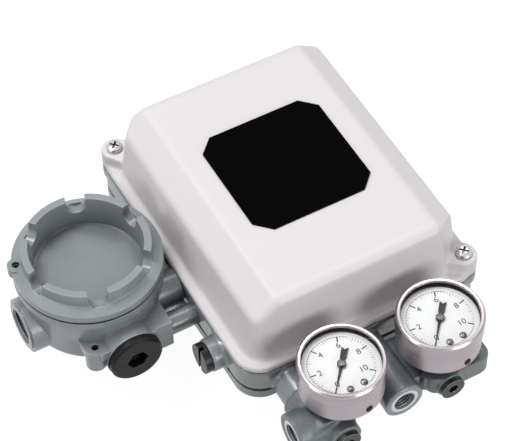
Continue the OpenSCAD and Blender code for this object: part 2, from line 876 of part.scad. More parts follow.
// Hollow nipple that takes the wires from the box to the body
module wire_nipple() {
  color("silver")
    difference() {
      bar_x(-hx - 12, -hx + body_wall + 2, nipple_y, nipple_z, nipple_r);
      bar_x(-hx - 13, -hx + body_wall + 3, nipple_y, nipple_z, nipple_r - 1.2);
    }
}

// Left gauge block: outlet to the side, plug to the front, gauge on top
module left_block() {
  gx = gauge_xs[0];
  px = gx - left_pillar;
  y0 = -hy - pillar_l;
  color("slategray")
    difference() {
      union() {
        bar_y(gauge_y - 5 - block_r + 2, y0, px, port_z, block_r);
        bar_x(gx - outlet_out, gx, gauge_y - 5, port_z, block_r);
        translate([gx, gauge_y, port_z])
          cylinder(h = block_top - port_z, r = block_r - 1.5);
        bar_y(gauge_y - 5 - block_r - 4, gauge_y, gx - 8, port_z, block_plug_r + 2);
        bar_y(y0, y0 + 9, px, port_z, port_r - screw_c);
      }
      bar_x(gx - outlet_out - 1, gx - outlet_out + port_depth, gauge_y - 5, port_z, port_r);
      bar_x(gx - outlet_out - 1, gx - outlet_out + 0.5, gauge_y - 5, port_z, port_ring_r);
      bar_x(gx - outlet_out, gx - 1.5, gauge_y - 5, port_z, 2.4);
      translate([gx - 3.4, gauge_y - 3, port_z])
        cylinder(h = block_top - 8 - port_z, r = 1.4);
      bar_y(gauge_y - 5, y0 + 10, px, port_z, 2.4);
      translate([gx, gauge_y, block_top - 9])
        cylinder(h = 12, r = stem_r + screw_c);
      bar_y(gauge_y - 5 - block_r - 5, gauge_y - 12, gx - 8, port_z, block_plug_r - 1.4 + screw_c);
    }
}

// Screw plug of the left block
module left_block_plug() {
  y1 = gauge_y - 5 - block_r - 4;
  color("dimgray")
    difference() {
      union() {
        bar_y(y1 - 2.6, y1, gauge_xs[0] - 8, port_z, block_plug_r);
        bar_y(y1 - 1, y1 + 6, gauge_xs[0] - 8, port_z, block_plug_r - 1.4);
      }
      translate([gauge_xs[0] - 8, y1 + 1, port_z])
        rotate([90, 0, 0])
          cylinder(h = 5, r = 2.9, $fn = 6);
    }
}

// Right gauge block: bar with a rounded end, plug boss to the front, gauge on top
module right_block() {
  gx = gauge_xs[1];
  px = gx + right_pillar;
  y0 = -hy - pillar_l;
  color("slategray")
    difference() {
      union() {
        translate([gx + 4.4, (y0 + gauge_y - 16.6) / 2, port_z - 5])
          linear_extrude(11.4)
            plan(35, y0 - gauge_y + 16.6, 6);
        bar_y(y0 - 6, y0, px, port_z, pillar_r);
        translate([gx, gauge_y, port_z])
          cylinder(h = block_top - port_z, r = block_r - 1.5);
        bar_y(gauge_y - 18, gauge_y, gx - 3, port_z, block_plug_r + 0.8);
        bar_y(y0, y0 + 9, px, port_z, port_r - screw_c);
        translate([gx - 10, gauge_y - 6, port_z - 5])
          rotate([0, 0, 200])
            cube([6, 4, 10]);
      }
      bar_y(gauge_y - 4, y0 + 10, px, port_z, 2.4);
      bar_x(gx, px, gauge_y, port_z, 2.4);
      translate([gx, gauge_y, port_z])
        cylinder(h = block_top - 8 - port_z, r = 1.6);
      translate([gx, gauge_y, block_top - 9])
        cylinder(h = 12, r = stem_r + screw_c);
      bar_y(gauge_y - 19, gauge_y - 12, gx - 3, port_z, block_plug_r - 1.4 + screw_c);
    }
}

// Screw plug of the right block
module right_block_plug() {
  y1 = gauge_y - 18;
  color("dimgray")
    difference() {
      union() {
        bar_y(y1 - 2.6, y1, gauge_xs[1] - 3, port_z, block_plug_r);
        bar_y(y1 - 1, y1 + 5, gauge_xs[1] - 3, port_z, block_plug_r - 1.4);
      }
      translate([gauge_xs[1] - 3, y1 + 1, port_z])
        rotate([90, 0, 0])
          cylinder(h = 5, r = 2.9, $fn = 6);
    }
}

// Gauge case: steel cup with a threaded stem, a hexagon and a vent hole
module gauge_case(gx) {
  color("silver")
    translate([gx, gauge_y, 0])
      difference() {
        union() {
          translate([0, 0, z_case])
            cylinder(h = case_h, r = case_r, $fn = 96);
          translate([0, 0, z_case])
            cylinder(h = z_dial - z_case, r = case_r - gauge_wall, $fn = 96);
          translate([0, 0, block_top - 8])
            cylinder(h = 10, r = stem_r);
          translate([0, 0, block_top])
            cylinder(h = stem_gap + 0.1, r = 8.1, $fn = 6);
        }
        translate([0, 0, z_case + 2])
          difference() {
            cylinder(h = z_dial - z_case, r = case_r - gauge_wall - 1.4, $fn = 96);
            cylinder(h = 60, r = 4);
          }
        translate([0, 0, z_dial - 6])
          cylinder(h = 20, r = 0.8 + run_c);
        rotate([0, 0, -81])
          translate([case_r - 1, 0, z_case + 3.1])
            rotate([0, 90, 0])
              cylinder(h = 3, r = vent_r);
      }
}

// Bezel ring that clamps the glass on the case
module gauge_bezel(gx) {
  color("gainsboro")
    translate([gx, gauge_y, z_bezel])
      rotate_extrude($fn = 96)
        polygon([[case_r - gauge_wall + 0.1, 0], [gauge_r, 0], [gauge_r, bezel_h - 1],
          [gauge_r - 0.9, bezel_h], [gauge_r - 2.1, bezel_h - 0.1],
          [dial_r - bezel_lip, bezel_h - glass_drop], [dial_r - bezel_lip, bezel_h - glass_drop - 0.05],
          [case_r - gauge_wall + 0.1, bezel_h - glass_drop - 0.05]]);
}

// Flat glass under the bezel
module gauge_glass(gx) {
  color("lightcyan")
    translate([gx, gauge_y, z_glass])
      cylinder(h = glass_t - 0.05, r = case_r - gauge_wall, $fn = 96);
}

// White dial with two domed pins below its scale
module gauge_dial(gx) {
  color("white")
    translate([gx, gauge_y, z_dial])
      difference() {
        union() {
          cylinder(h = dial_t, r = dial_r, $fn = 96);
          for (a = [-72, -103])
            rotate([0, 0, a])
              translate([14.3, 0, dial_t])
                rotate_extrude()
                  polygon([[0, -0.2], [1.6, -0.2], [1.6, 0.3], [1.2, 0.8], [0, 1]]);
        }
        translate([0, 0, -1])
          cylinder(h = 4, r = 0.8 + run_c);
      }
}

// Pointer at the scale's zero: slender tip, swallow tail, hub and spindle
module gauge_pointer(gx) {
  color("black")
    translate([gx, gauge_y, z_dial + dial_t + 0.5])
      rotate([0, 0, zero_a])
        union() {
          linear_extrude(0.5)
            polygon([[pointer_l, 0], [2, 0.8], [-3, 0.9], [-3.4, 1.5], [-pointer_tail, 1.7],
              [1.4 - pointer_tail, 0], [-pointer_tail, -1.7], [-3.4, -1.5], [-3, -0.9], [2, -0.8]]);
          cylinder(h = 1.2, r = 2.2);
          translate([0, 0, -6])
            cylinder(h = 6.5, r = 0.8);
        }
}

// Auto and manual selector: slotted cap on a spindle
module selector() {
  x1 = -hx - selector_boss_l - side_c;
  color("black")
    difference() {
      union() {
        bar_x(x1 - selector_t, x1, -selector_y, selector_z, selector_r);
        bar_x(x1 - 1, -hx + body_wall + 7, -selector_y, selector_z, spindle_r);
      }
      translate([x1 - selector_t - 1, -selector_y - slot_w / 2, selector_z - selector_r - 1])
        cube([selector_t, slot_w, 2 * selector_r + 2]);
    }
}

// Feedback shaft with a thrust collar inside and a free end behind the body
module feedback_shaft() {
  color("silver")
    translate([shaft_x, shaft_y, 0])
      difference() {
        union() {
          translate([0, 0, -shaft_free])
            cylinder(h = shaft_free + z_arm + arm_t + 2, r = shaft_r);
          translate([0, 0, z_bush_top + 0.3])
            cylinder(h = 2.5, r = shaft_r + 3);
        }
        translate([0, 0, -1.7])
          difference() {
            cylinder(h = 1.2, r = shaft_r + 5);
            translate([0, 0, -1])
              cylinder(h = 4, r = shaft_r - 0.6);
          }
      }
}

// Bush of the feedback shaft
module shaft_bush() {
  color("goldenrod")
    translate([shaft_x, shaft_y, 3.4])
      difference() {
        cylinder(h = z_bush_top - 3.4, r = bush_r);
        translate([0, 0, -1])
          cylinder(h = 80, r = shaft_r + run_c);
      }
}

// Lip seal behind the bush
module shaft_seal() {
  color("black")
    translate([shaft_x, shaft_y, 0.4])
      difference() {
        cylinder(h = 3, r = bush_r);
        translate([0, 0, -1])
          cylinder(h = 5, r = shaft_r + run_c);
      }
}

// Open retaining ring in the shaft's groove
module shaft_clip() {
  color("dimgray")
    translate([shaft_x, shaft_y, -1.6])
      difference() {
        cylinder(h = 1, r = shaft_r + 2.4);
        translate([0, 0, -1])
          cylinder(h = 3, r = shaft_r - 0.55);
        translate([-1.5, 0, -1])
          cube([3, shaft_r + 4, 3]);
      }
}

// Span arm clamped on the shaft, with the slot for the span pin
module span_arm() {
  color("silver")
    translate([shaft_x, shaft_y, z_arm])
      difference() {
        union() {
          translate([0, 0, arm_t - 9])
            cylinder(h = 9, r = shaft_r + 4);
          linear_extrude(arm_t)
            union() {
              translate([-arm_w / 2, -arm_l])
                square([arm_w, arm_l]);
              translate([0, -arm_l])
                circle(r = arm_w / 2);
            }
        }
        translate([0, 0, -20])
          cylinder(h = 40, r = shaft_r + 0.02);
        translate([0, 0, -1])
          linear_extrude(arm_t + 2)
            union() {
              translate([-1.6, -arm_l])
                square([3.2, arm_l - 16]);
              for (y = [-arm_l, -16])
                translate([0, y])
                  circle(r = 1.6);
            }
      }
}

// Span pin: clamped in the arm's slot, with a groove for the spring
module span_pin() {
  color("goldenrod")
    translate([shaft_x, shaft_y - pin_at, z_arm])
      union() {
        translate([0, 0, -2.4])
          cylinder(h = 2.4, r = 3.6, $fn = 6);
        cylinder(h = arm_t + 1, r = 1.5);
        translate([0, 0, arm_t])
          cylinder(h = 1.6, r = 3.6);
        translate([0, 0, arm_t + 1.5])
          cylinder(h = 5, r = 1.5);
      }
}

// Feedback spring from the beam's post across to the span pin
module feedback_spring() {
  dx = shaft_x - pivot_x;
  dy = shaft_y - pin_at - beam_y;
  l = norm([dx, dy]);
  r = spring_r - wire_r;
  x0 = (l - spring_l) / 2;
  x1 = (l + spring_l) / 2;
  color("silver")
    translate([pivot_x, beam_y, z_spring])
      rotate([0, 0, atan2(dy, dx)])
        union() {
          rotate([0, 90, 0])
            wound_coil(x0, x1, r, wire_r);
          bar_x(1.7, x0 + 0.4, 0, 0, wire_r * 0.9);
          bar_x(x1 - 0.4, l - 1.6, 0, 0, wire_r * 0.9);
          for (x = [x0 + 0.4, x1 - 0.4])
            translate([x, 0, -wire_r / 2])
              cylinder(h = r + wire_r / 2, r = wire_r * 0.8);
        }
}

// Yoke of the torque motor: base, back and top plate
module motor_yoke() {
  x1 = pivot_x + beam_right + 5;
  w = yoke_w;
  color("gray")
    translate([0, beam_y - w / 2, 0])
      rotate([90, 0, 90])
        translate([0, 0, x1 - 36])
          difference() {
            union() {
              translate([0, z_floor, 0])
                cube([w, yoke_t, 36]);
              translate([0, z_floor, 36 - yoke_t])
                cube([w, 2 * beam_up, yoke_t]);
              translate([0, z_floor + 2 * beam_up - yoke_t, 22])
                cube([w, yoke_t, 14]);
            }
          }
}

// Two magnets of the torque motor
module motor_magnets() {
  x1 = pivot_x + beam_right + 1;
  gap = beam_t / 2 + air_gap + 2.5;
  h = beam_up - yoke_t - gap;
  color("dimgray")
    for (s = [-1, 1])
      translate([x1 - 9, beam_y - 6, s > 0 ? beam_z + gap : beam_z - gap - h])
        cube([9, 12, h]);
}

// Two pole pieces beside the beam's tip
module motor_poles() {
  x1 = pivot_x + beam_right + 1;
  gap = beam_t / 2 + air_gap;
  color("gray")
    for (s = [-1, 1])
      translate([x1 - 9, beam_y - 6, s > 0 ? beam_z + gap : beam_z - gap - 2.5])
        cube([9, 12, 2.5]);
}

// Coil on its bobbin round the beam
module motor_coil() {
  x0 = pivot_x + 15;
  foot = beam_up - yoke_t;
  color("chocolate")
    translate([x0, beam_y, beam_z])
      rotate([90, 0, 90])
        difference() {
          union() {
            translate([0, 0, 1.5])
              linear_extrude(coil_l - 3)
                plan(coil_s - 2, coil_s - 2, 3);
            for (z = [0, coil_l - 1.5])
              translate([0, 0, z])
                linear_extrude(1.5)
                  union() {
                    plan(coil_s, coil_s, 1.5);
                    translate([-coil_s / 2, -foot])
                      square([coil_s, foot]);
                  }
          }
          translate([-beam_w / 2 - 1, -beam_t / 2 - 1, -1])
            cube([beam_w + 2, beam_t + 2, coil_l + 2]);
        }
}

// Beam: armature, pivot pin, flapper end and post for the spring
module beam() {
  color("lightgray")
    union() {
      translate([pivot_x - beam_left, beam_y - beam_w / 2, beam_z - beam_t / 2])
        cube([beam_left + beam_right, beam_w, beam_t]);
      bar_y(beam_y - beam_w / 2, beam_y + beam_w / 2, pivot_x, beam_z, 4);
      bar_y(beam_y - 8, beam_y + 8, pivot_x, beam_z, 1.5);
      translate([pivot_x - 1.2, beam_y - beam_w / 2, beam_z])
        cube([2.4, beam_w, z_spring - beam_z + 3]);
      bar_y(beam_y - 5, beam_y + 5, pivot_x, z_spring, 1.1);
    }
}

// Bracket that carries the beam's pivot
module pivot_bracket() {
  color("gray")
    difference() {
      union() {
        translate([pivot_x - 6, beam_y - 9, z_floor])
          cube([12, 18, 3]);
        for (y = [beam_y - 9, beam_y + beam_w / 2 + 1])
          translate([pivot_x - 6, y, z_floor])
            cube([12, 8 - beam_w / 2, beam_up - 2]);
        for (y = [beam_y - 9, beam_y + beam_w / 2 + 1])
          bar_y(y, y + 8 - beam_w / 2, pivot_x, beam_z, 4.5);
      }
      bar_y(beam_y - 20, beam_y + 20, pivot_x, beam_z, 1.5 + run_c);
    }
}

// Nozzle on its block, under the flapper end of the beam
module nozzle() {
  tip = beam_up - beam_t / 2 - 0.8;
  color("goldenrod")
    translate([nozzle_x, beam_y, z_floor])
      difference() {
        union() {
          translate([-6, -6, 0])
            cube([12, 12, 5]);
          translate([0, 0, 5])
            cylinder(h = 2.2, r = 4.6, $fn = 6);
          translate([0, 0, 7])
            cylinder(h = tip - 7, r1 = 2.8, r2 = 1.1);
        }
        translate([0, 0, 2.5])
          cylinder(h = 20, r = 0.5);
      }
}

// Air tube from the relay to the nozzle block
module nozzle_tube() {
  color("peru")
    difference() {
      bar_y(relay_y + relay_s / 2, beam_y - 6, nozzle_x, z_floor + 2.6, 1.6);
      bar_y(relay_y, beam_y, nozzle_x, z_floor + 2.6, 0.9);
    }
}

// Body of the pilot relay
module relay_body() {
  color("lightgray")
    translate([relay_x, relay_y, z_floor])
      difference() {
        linear_extrude(relay_h)
          plan(relay_s, relay_s, 3);
        for (s = [-1, 1])
          translate([s * (relay_s / 2 + 1), 0, relay_h / 2])
            cube([5, relay_s - 14, 4], center = true);
        for (a = [45 : 90 : 359])
          rotate([0, 0, a])
            translate([relay_cap_r - 2.4, 0, relay_h - 8])
              cylinder(h = 12, r = 1.25 + screw_c);
      }
}

// Round cover over the relay's diaphragms
module relay_cap() {
  color("silver")
    translate([relay_x, relay_y, z_floor + relay_h])
      difference() {
        rotate_extrude()
          polygon([[0, 0], [relay_cap_r, 0], [relay_cap_r, relay_cap_h * 0.4],
            [relay_cap_r - 5.4, relay_cap_h * 0.4], [relay_cap_r - 7, relay_cap_h],
            [0, relay_cap_h]]);
        for (a = [45 : 90 : 359])
          rotate([0, 0, a])
            translate([relay_cap_r - 2.4, 0, -1])
              cylinder(h = 12, r = 1.25 + screw_c);
      }
}

// Screws of the relay's cover
module relay_screws() {
  color("silver")
    for (a = [45 : 90 : 359])
      translate([relay_x, relay_y, z_floor + relay_h + relay_cap_h * 0.4])
        rotate([0, 0, a])
          translate([relay_cap_r - 2.4, 0, 0])
            pan_screw(1.25, 2.3, 1.7, 8);
}

// Bracket that carries the zero wheel over the beam
module zero_bracket() {
  color("gray")
    difference() {
      union() {
        translate([zero_x - 6, beam_y + 8, z_floor])
          cube([12, 10, 2.5]);
        translate([zero_x - 6, beam_y + 8, z_floor])
          cube([12, 2.5, z_zero - z_floor + 3]);
        translate([zero_x - 6, beam_y, z_zero])
          cube([12, 10, 3]);
        translate([zero_x, beam_y, z_zero])
          cylinder(h = 3, r = 6);
      }
      translate([zero_x, beam_y, z_zero - 1])
        cylinder(h = 6, r = 1.8 + run_c);
    }
}

// Zero wheel: grooved rim on a screw that ends in a spring seat
module zero_wheel() {
  color("goldenrod")
    translate([zero_x, beam_y, z_zero + 3])
      union() {
        difference() {
          translate([0, 0, side_c])
            cylinder(h = zero_t, r = zero_r);
          for (i = [0 : 23])
            rotate([0, 0, i * 15])
              translate([zero_r + 0.3, 0, -1])
                cylinder(h = zero_t + 3, r = 0.8, $fn = 16);
          translate([-zero_r, -0.7, side_c + zero_t - 1.2])
            cube([2 * zero_r, 1.4, 3]);
        }
        translate([0, 0, -7])
          cylinder(h = 8, r = 1.8);
        translate([0, 0, -7.5])
          cylinder(h = 1.2, r = 3.4);
      }
}

// Zero spring between the wheel's seat and the beam
module zero_spring() {
  color("silver")
    translate([zero_x, beam_y, 0])
      ring_coil(beam_z + beam_t / 2 + 0.3, z_zero - 4.8, 2.6, wire_r, 10);
}

module left_gauge_case() { gauge_case(gauge_xs[0]); }
module left_gauge_bezel() { gauge_bezel(gauge_xs[0]); }
module left_gauge_glass() { gauge_glass(gauge_xs[0]); }
module left_gauge_dial() { gauge_dial(gauge_xs[0]); }
module left_gauge_pointer() { gauge_pointer(gauge_xs[0]); }
module right_gauge_case() { gauge_case(gauge_xs[1]); }
module right_gauge_bezel() { gauge_bezel(gauge_xs[1]); }
module right_gauge_glass() { gauge_glass(gauge_xs[1]); }
module right_gauge_dial() { gauge_dial(gauge_xs[1]); }
module right_gauge_pointer() { gauge_pointer(gauge_xs[1]); }

body_case();
rear_plate();
rear_gasket();
rear_screws();
cover_gasket();
cover();
cover_label();
cover_screws();
terminal_box();
terminal_lid();
lid_seal();
lid_lock_screw();
terminal_block();
terminal_screws();
conduit_plug();
plug_gasket();
support_pillar();
wire_nipple();
left_block();
left_block_plug();
right_block();
right_block_plug();
left_gauge_case();
left_gauge_bezel();
left_gauge_glass();
left_gauge_dial();
left_gauge_pointer();
right_gauge_case();
right_gauge_bezel();
right_gauge_glass();
right_gauge_dial();
right_gauge_pointer();
selector();
feedback_shaft();
shaft_bush();
shaft_seal();
shaft_clip();
span_arm();
span_pin();
feedback_spring();
motor_yoke();
motor_magnets();
motor_poles();
motor_coil();
beam();
pivot_bracket();
nozzle();
nozzle_tube();
relay_body();
relay_cap();
relay_screws();
zero_bracket();
zero_wheel();
zero_spring();
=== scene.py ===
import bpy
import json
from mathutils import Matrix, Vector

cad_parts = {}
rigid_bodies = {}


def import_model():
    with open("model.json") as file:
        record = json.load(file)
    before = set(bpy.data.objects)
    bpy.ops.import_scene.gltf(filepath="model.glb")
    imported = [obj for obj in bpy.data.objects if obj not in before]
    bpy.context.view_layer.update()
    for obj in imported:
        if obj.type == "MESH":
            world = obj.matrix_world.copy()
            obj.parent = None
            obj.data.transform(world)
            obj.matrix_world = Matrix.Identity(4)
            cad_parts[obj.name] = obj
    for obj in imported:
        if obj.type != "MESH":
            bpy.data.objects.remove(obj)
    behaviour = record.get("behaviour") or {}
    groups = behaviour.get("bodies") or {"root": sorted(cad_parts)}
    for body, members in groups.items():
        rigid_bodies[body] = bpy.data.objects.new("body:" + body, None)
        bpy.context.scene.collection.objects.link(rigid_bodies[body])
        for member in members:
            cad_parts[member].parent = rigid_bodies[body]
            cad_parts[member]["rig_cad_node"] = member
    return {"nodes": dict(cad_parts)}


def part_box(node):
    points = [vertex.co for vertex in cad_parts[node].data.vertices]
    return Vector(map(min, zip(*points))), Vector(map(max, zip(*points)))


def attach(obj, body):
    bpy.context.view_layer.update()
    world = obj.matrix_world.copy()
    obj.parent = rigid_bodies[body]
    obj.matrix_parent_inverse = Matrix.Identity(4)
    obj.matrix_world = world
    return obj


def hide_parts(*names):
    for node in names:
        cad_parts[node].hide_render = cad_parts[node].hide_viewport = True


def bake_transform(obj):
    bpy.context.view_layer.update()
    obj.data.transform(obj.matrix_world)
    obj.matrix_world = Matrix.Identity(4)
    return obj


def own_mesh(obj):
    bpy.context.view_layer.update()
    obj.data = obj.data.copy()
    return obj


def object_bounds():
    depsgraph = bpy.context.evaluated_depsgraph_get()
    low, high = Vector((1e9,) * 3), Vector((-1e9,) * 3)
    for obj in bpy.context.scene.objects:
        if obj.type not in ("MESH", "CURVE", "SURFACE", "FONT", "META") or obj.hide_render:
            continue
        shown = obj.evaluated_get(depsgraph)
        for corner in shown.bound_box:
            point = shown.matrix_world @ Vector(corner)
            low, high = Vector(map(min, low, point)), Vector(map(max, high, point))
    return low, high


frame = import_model()
cad_box = [list(corner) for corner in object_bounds()]

import bpy
import json
from math import cos, pi, radians, sin
from mathutils import Vector

nodes = frame["nodes"]

# Studio: a pale floor just under the feedback shaft's end, soft lamps and the
# photograph's camera. None of it belongs to the part.
MM = 0.001
floor_z = cad_box[0][2] - 0.4 * MM
eye_back = Vector((-0.3043, -0.5388, 0.7855))
eye_from = Vector((0.0, 0.0, 0.010)) + 1.1076 * eye_back


def linear(red, green, blue):
    """A colour as a picture shows it, 0 to 255, as the shaders take it."""
    steps = [c / 255.0 for c in (red, green, blue)]
    return tuple(c / 12.92 if c <= 0.04045 else ((c + 0.055) / 1.055) ** 2.4 for c in steps) + (1.0,)


def seen_directly(tree):
    """1 for rays from the camera, from gloss and through glass, else 0."""
    rays = tree.nodes.new("ShaderNodeLightPath")
    plain = tree.nodes.new("ShaderNodeMath")
    plain.operation = "MAXIMUM"
    tree.links.new(rays.outputs["Is Camera Ray"], plain.inputs[0])
    tree.links.new(rays.outputs["Is Glossy Ray"], plain.inputs[1])
    either = tree.nodes.new("ShaderNodeMath")
    either.operation = "MAXIMUM"
    tree.links.new(plain.outputs[0], either.inputs[0])
    tree.links.new(rays.outputs["Is Transmission Ray"], either.inputs[1])
    return either.outputs[0]


bpy.ops.object.select_all(action="DESELECT")
bpy.ops.mesh.primitive_plane_add(size=8.0, location=(0.0, 0.0, floor_z))
studio_floor = bpy.context.active_object
studio_floor.name = "studio_floor"
bpy.ops.object.transform_apply(location=True, rotation=False, scale=False)

floor_paper = bpy.data.materials.new("floor_paper")
floor_paper.use_nodes = True
tree = floor_paper.node_tree
paper = tree.nodes["Principled BSDF"]
paper.inputs["Base Color"].default_value = linear(124, 124, 125)
paper.inputs["Roughness"].default_value = 0.9
paper.inputs["Specular IOR Level"].default_value = 0.1
paper.inputs["Emission Color"].default_value = (1.0, 1.0, 1.0, 1.0)
glow = tree.nodes.new("ShaderNodeMath")
glow.operation = "MULTIPLY"
glow.inputs[1].default_value = 0.92
tree.links.new(seen_directly(tree), glow.inputs[0])
tree.links.new(glow.outputs[0], paper.inputs["Emission Strength"])
studio_floor.data.materials.append(floor_paper)

sky = bpy.data.worlds.new("studio_sky")
bpy.context.scene.world = sky
sky.use_nodes = True
tree = sky.node_tree
ambient = tree.nodes["Background"]
ambient.inputs["Color"].default_value = (1.0, 1.0, 1.0, 1.0)
level = tree.nodes.new("ShaderNodeMapRange")
level.inputs["To Min"].default_value = 0.32
level.inputs["To Max"].default_value = 1.0
tree.links.new(seen_directly(tree), level.inputs["Value"])
tree.links.new(level.outputs["Result"], ambient.inputs["Strength"])


def softbox(name, place, aim, size, power):
    lamp = bpy.data.lights.new(name, "AREA")
    lamp.shape = "DISK"
    lamp.size = size
    lamp.energy = power
    holder = bpy.data.objects.new(name, lamp)
    holder.location = place
    holder.rotation_euler = (Vector(place) - Vector(aim)).to_track_quat("Z", "Y").to_euler()
    bpy.context.scene.collection.objects.link(holder)


softbox("lamp_main", (-0.40, 0.36, 1.22), (0.0, 0.0, 0.03), size=0.45, power=8.2)
softbox("lamp_edge", (0.41, 0.38, 1.23), (0.0, 0.0, 0.03), size=0.3, power=2.8)
softbox("lamp_front", (0.34, -1.30, 0.42), (0.0, -0.05, 0.03), size=0.7, power=7.2)
softbox("lamp_left", (-1.25, -0.15, 0.50), (0.0, 0.0, 0.03), size=0.5, power=2.6)

eye = bpy.data.cameras.new("photo_camera")
eye.sensor_width = 36.0
eye.lens = 149.0
eye.shift_x = -0.0546
eye.shift_y = 0.0334
eye.clip_start = 0.05
eye.clip_end = 20.0
camera = bpy.data.objects.new("photo_camera", eye)
camera.location = eye_from
camera.rotation_euler = eye_back.to_track_quat("Z", "Y").to_euler()
bpy.context.scene.collection.objects.link(camera)
bpy.context.scene.camera = camera
bpy.context.scene.view_settings.view_transform = "Standard"

# Rear plate: an aluminium die casting, sprayed grey, with a hollow mounting
# pad. It closes the body from behind on a fibre gasket, with four screws.


def shader_group(name, takes, gives):
    """An empty node group with its sockets: its tree, its inputs' node and its outputs' node."""
    made = bpy.data.node_groups.new(name, "ShaderNodeTree")
    for socket, value in takes:
        made.interface.new_socket(socket, in_out="INPUT", socket_type="NodeSocketFloat").default_value = value
    for socket, kind in gives:
        made.interface.new_socket(socket, in_out="OUTPUT", socket_type="NodeSocket" + kind)
    return made, made.nodes.new("NodeGroupInput"), made.nodes.new("NodeGroupOutput")


def math_node(tree, what, first, second):
    node = tree.nodes.new("ShaderNodeMath")
    node.operation = what
    for socket, value in zip(node.inputs, (first, second)):
        if isinstance(value, (int, float)):
            socket.default_value = value
        else:
            tree.links.new(value, socket)
    return node.outputs[0]


# The skin of a casting: broad soft lumps of the paint film and fine pits of the sand or die.
cast_grain, grain_in, grain_out = shader_group(
    "cast_grain", [("Lumps", 150.0), ("Pits", 900.0)], [("Tone", "Float"), ("Height", "Float")])
place = cast_grain.nodes.new("ShaderNodeTexCoord")
lumps = cast_grain.nodes.new("ShaderNodeTexNoise")
lumps.inputs["Detail"].default_value = 3.0
pits = cast_grain.nodes.new("ShaderNodeTexNoise")
pits.inputs["Detail"].default_value = 4.0
pits.inputs["Roughness"].default_value = 0.62
for noise, socket in ((lumps, "Lumps"), (pits, "Pits")):
    cast_grain.links.new(place.outputs["Object"], noise.inputs["Vector"])
    cast_grain.links.new(grain_in.outputs[socket], noise.inputs["Scale"])
fine = math_node(cast_grain, "MULTIPLY", pits.outputs["Fac"], 0.8)
both = math_node(cast_grain, "MULTIPLY_ADD", lumps.outputs["Fac"], 0.4)
cast_grain.links.new(fine, both.node.inputs[2])
spread = cast_grain.nodes.new("ShaderNodeMapRange")
spread.inputs["From Min"].default_value = 0.42
spread.inputs["From Max"].default_value = 0.78
cast_grain.links.new(both, spread.inputs["Value"])
cast_grain.links.new(spread.outputs["Result"], grain_out.inputs["Tone"])
cast_grain.links.new(both, grain_out.inputs["Height"])

# Eased edges: the normal turns round each edge, and the mask is 1 on the edge itself, where the materials lay
# a painted highlight.
eased_edge, edge_in, edge_out = shader_group(
    "eased_edge", [("Radius", 0.0006)], [("Normal", "Vector"), ("Edge", "Float")])
rounder = eased_edge.nodes.new("ShaderNodeBevel")
rounder.samples = 4
eased_edge.links.new(edge_in.outputs["Radius"], rounder.inputs["Radius"])
surface = eased_edge.nodes.new("ShaderNodeNewGeometry")
lean = eased_edge.nodes.new("ShaderNodeVectorMath")
lean.operation = "DOT_PRODUCT"
eased_edge.links.new(rounder.outputs["Normal"], lean.inputs[0])
eased_edge.links.new(surface.outputs["Normal"], lean.inputs[1])
rim = eased_edge.nodes.new("ShaderNodeMapRange")
rim.inputs["From Min"].default_value = 0.995
rim.inputs["From Max"].default_value = 0.86
eased_edge.links.new(lean.outputs["Value"], rim.inputs["Value"])
eased_edge.links.new(rounder.outputs["Normal"], edge_out.inputs["Normal"])
eased_edge.links.new(rim.outputs["Result"], edge_out.inputs["Edge"])

# Hollows: 1 deep in a corner between two faces, where the materials darken as a painted shade.
painted_hollow_shade, hollow_in, hollow_out = shader_group(
    "painted_hollow_shade", [("Reach", 0.006)], [("Hollow", "Float")])
shelter = painted_hollow_shade.nodes.new("ShaderNodeAmbientOcclusion")
shelter.samples = 6
painted_hollow_shade.links.new(hollow_in.outputs["Reach"], shelter.inputs["Distance"])
deep = painted_hollow_shade.nodes.new("ShaderNodeMapRange")
deep.inputs["From Min"].default_value = 0.75
deep.inputs["From Max"].default_value = 0.15
painted_hollow_shade.links.new(shelter.outputs["AO"], deep.inputs["Value"])
painted_hollow_shade.links.new(deep.outputs["Result"], hollow_out.inputs["Hollow"])


def placed(tree, group, **values):
    node = tree.nodes.new("ShaderNodeGroup")
    node.node_tree = group
    for socket, value in values.items():
        node.inputs[socket].default_value = value
    return node


def mixed(tree, factor, first, second):
    """One colour over another by a mask. Either may be a colour or a socket."""
    node = tree.nodes.new("ShaderNodeMix")
    node.data_type = "RGBA"
    tree.links.new(factor, node.inputs["Factor"])
    for socket, value in ((node.inputs[6], first), (node.inputs[7], second)):
        if isinstance(value, tuple):
            socket.default_value = value
        else:
            tree.links.new(value, socket)
    return node.outputs[2]


def ranged(tree, value, low, high):
    node = tree.nodes.new("ShaderNodeMapRange")
    tree.links.new(value, node.inputs["Value"])
    node.inputs["To Min"].default_value = low
    node.inputs["To Max"].default_value = high
    return node.outputs["Result"]


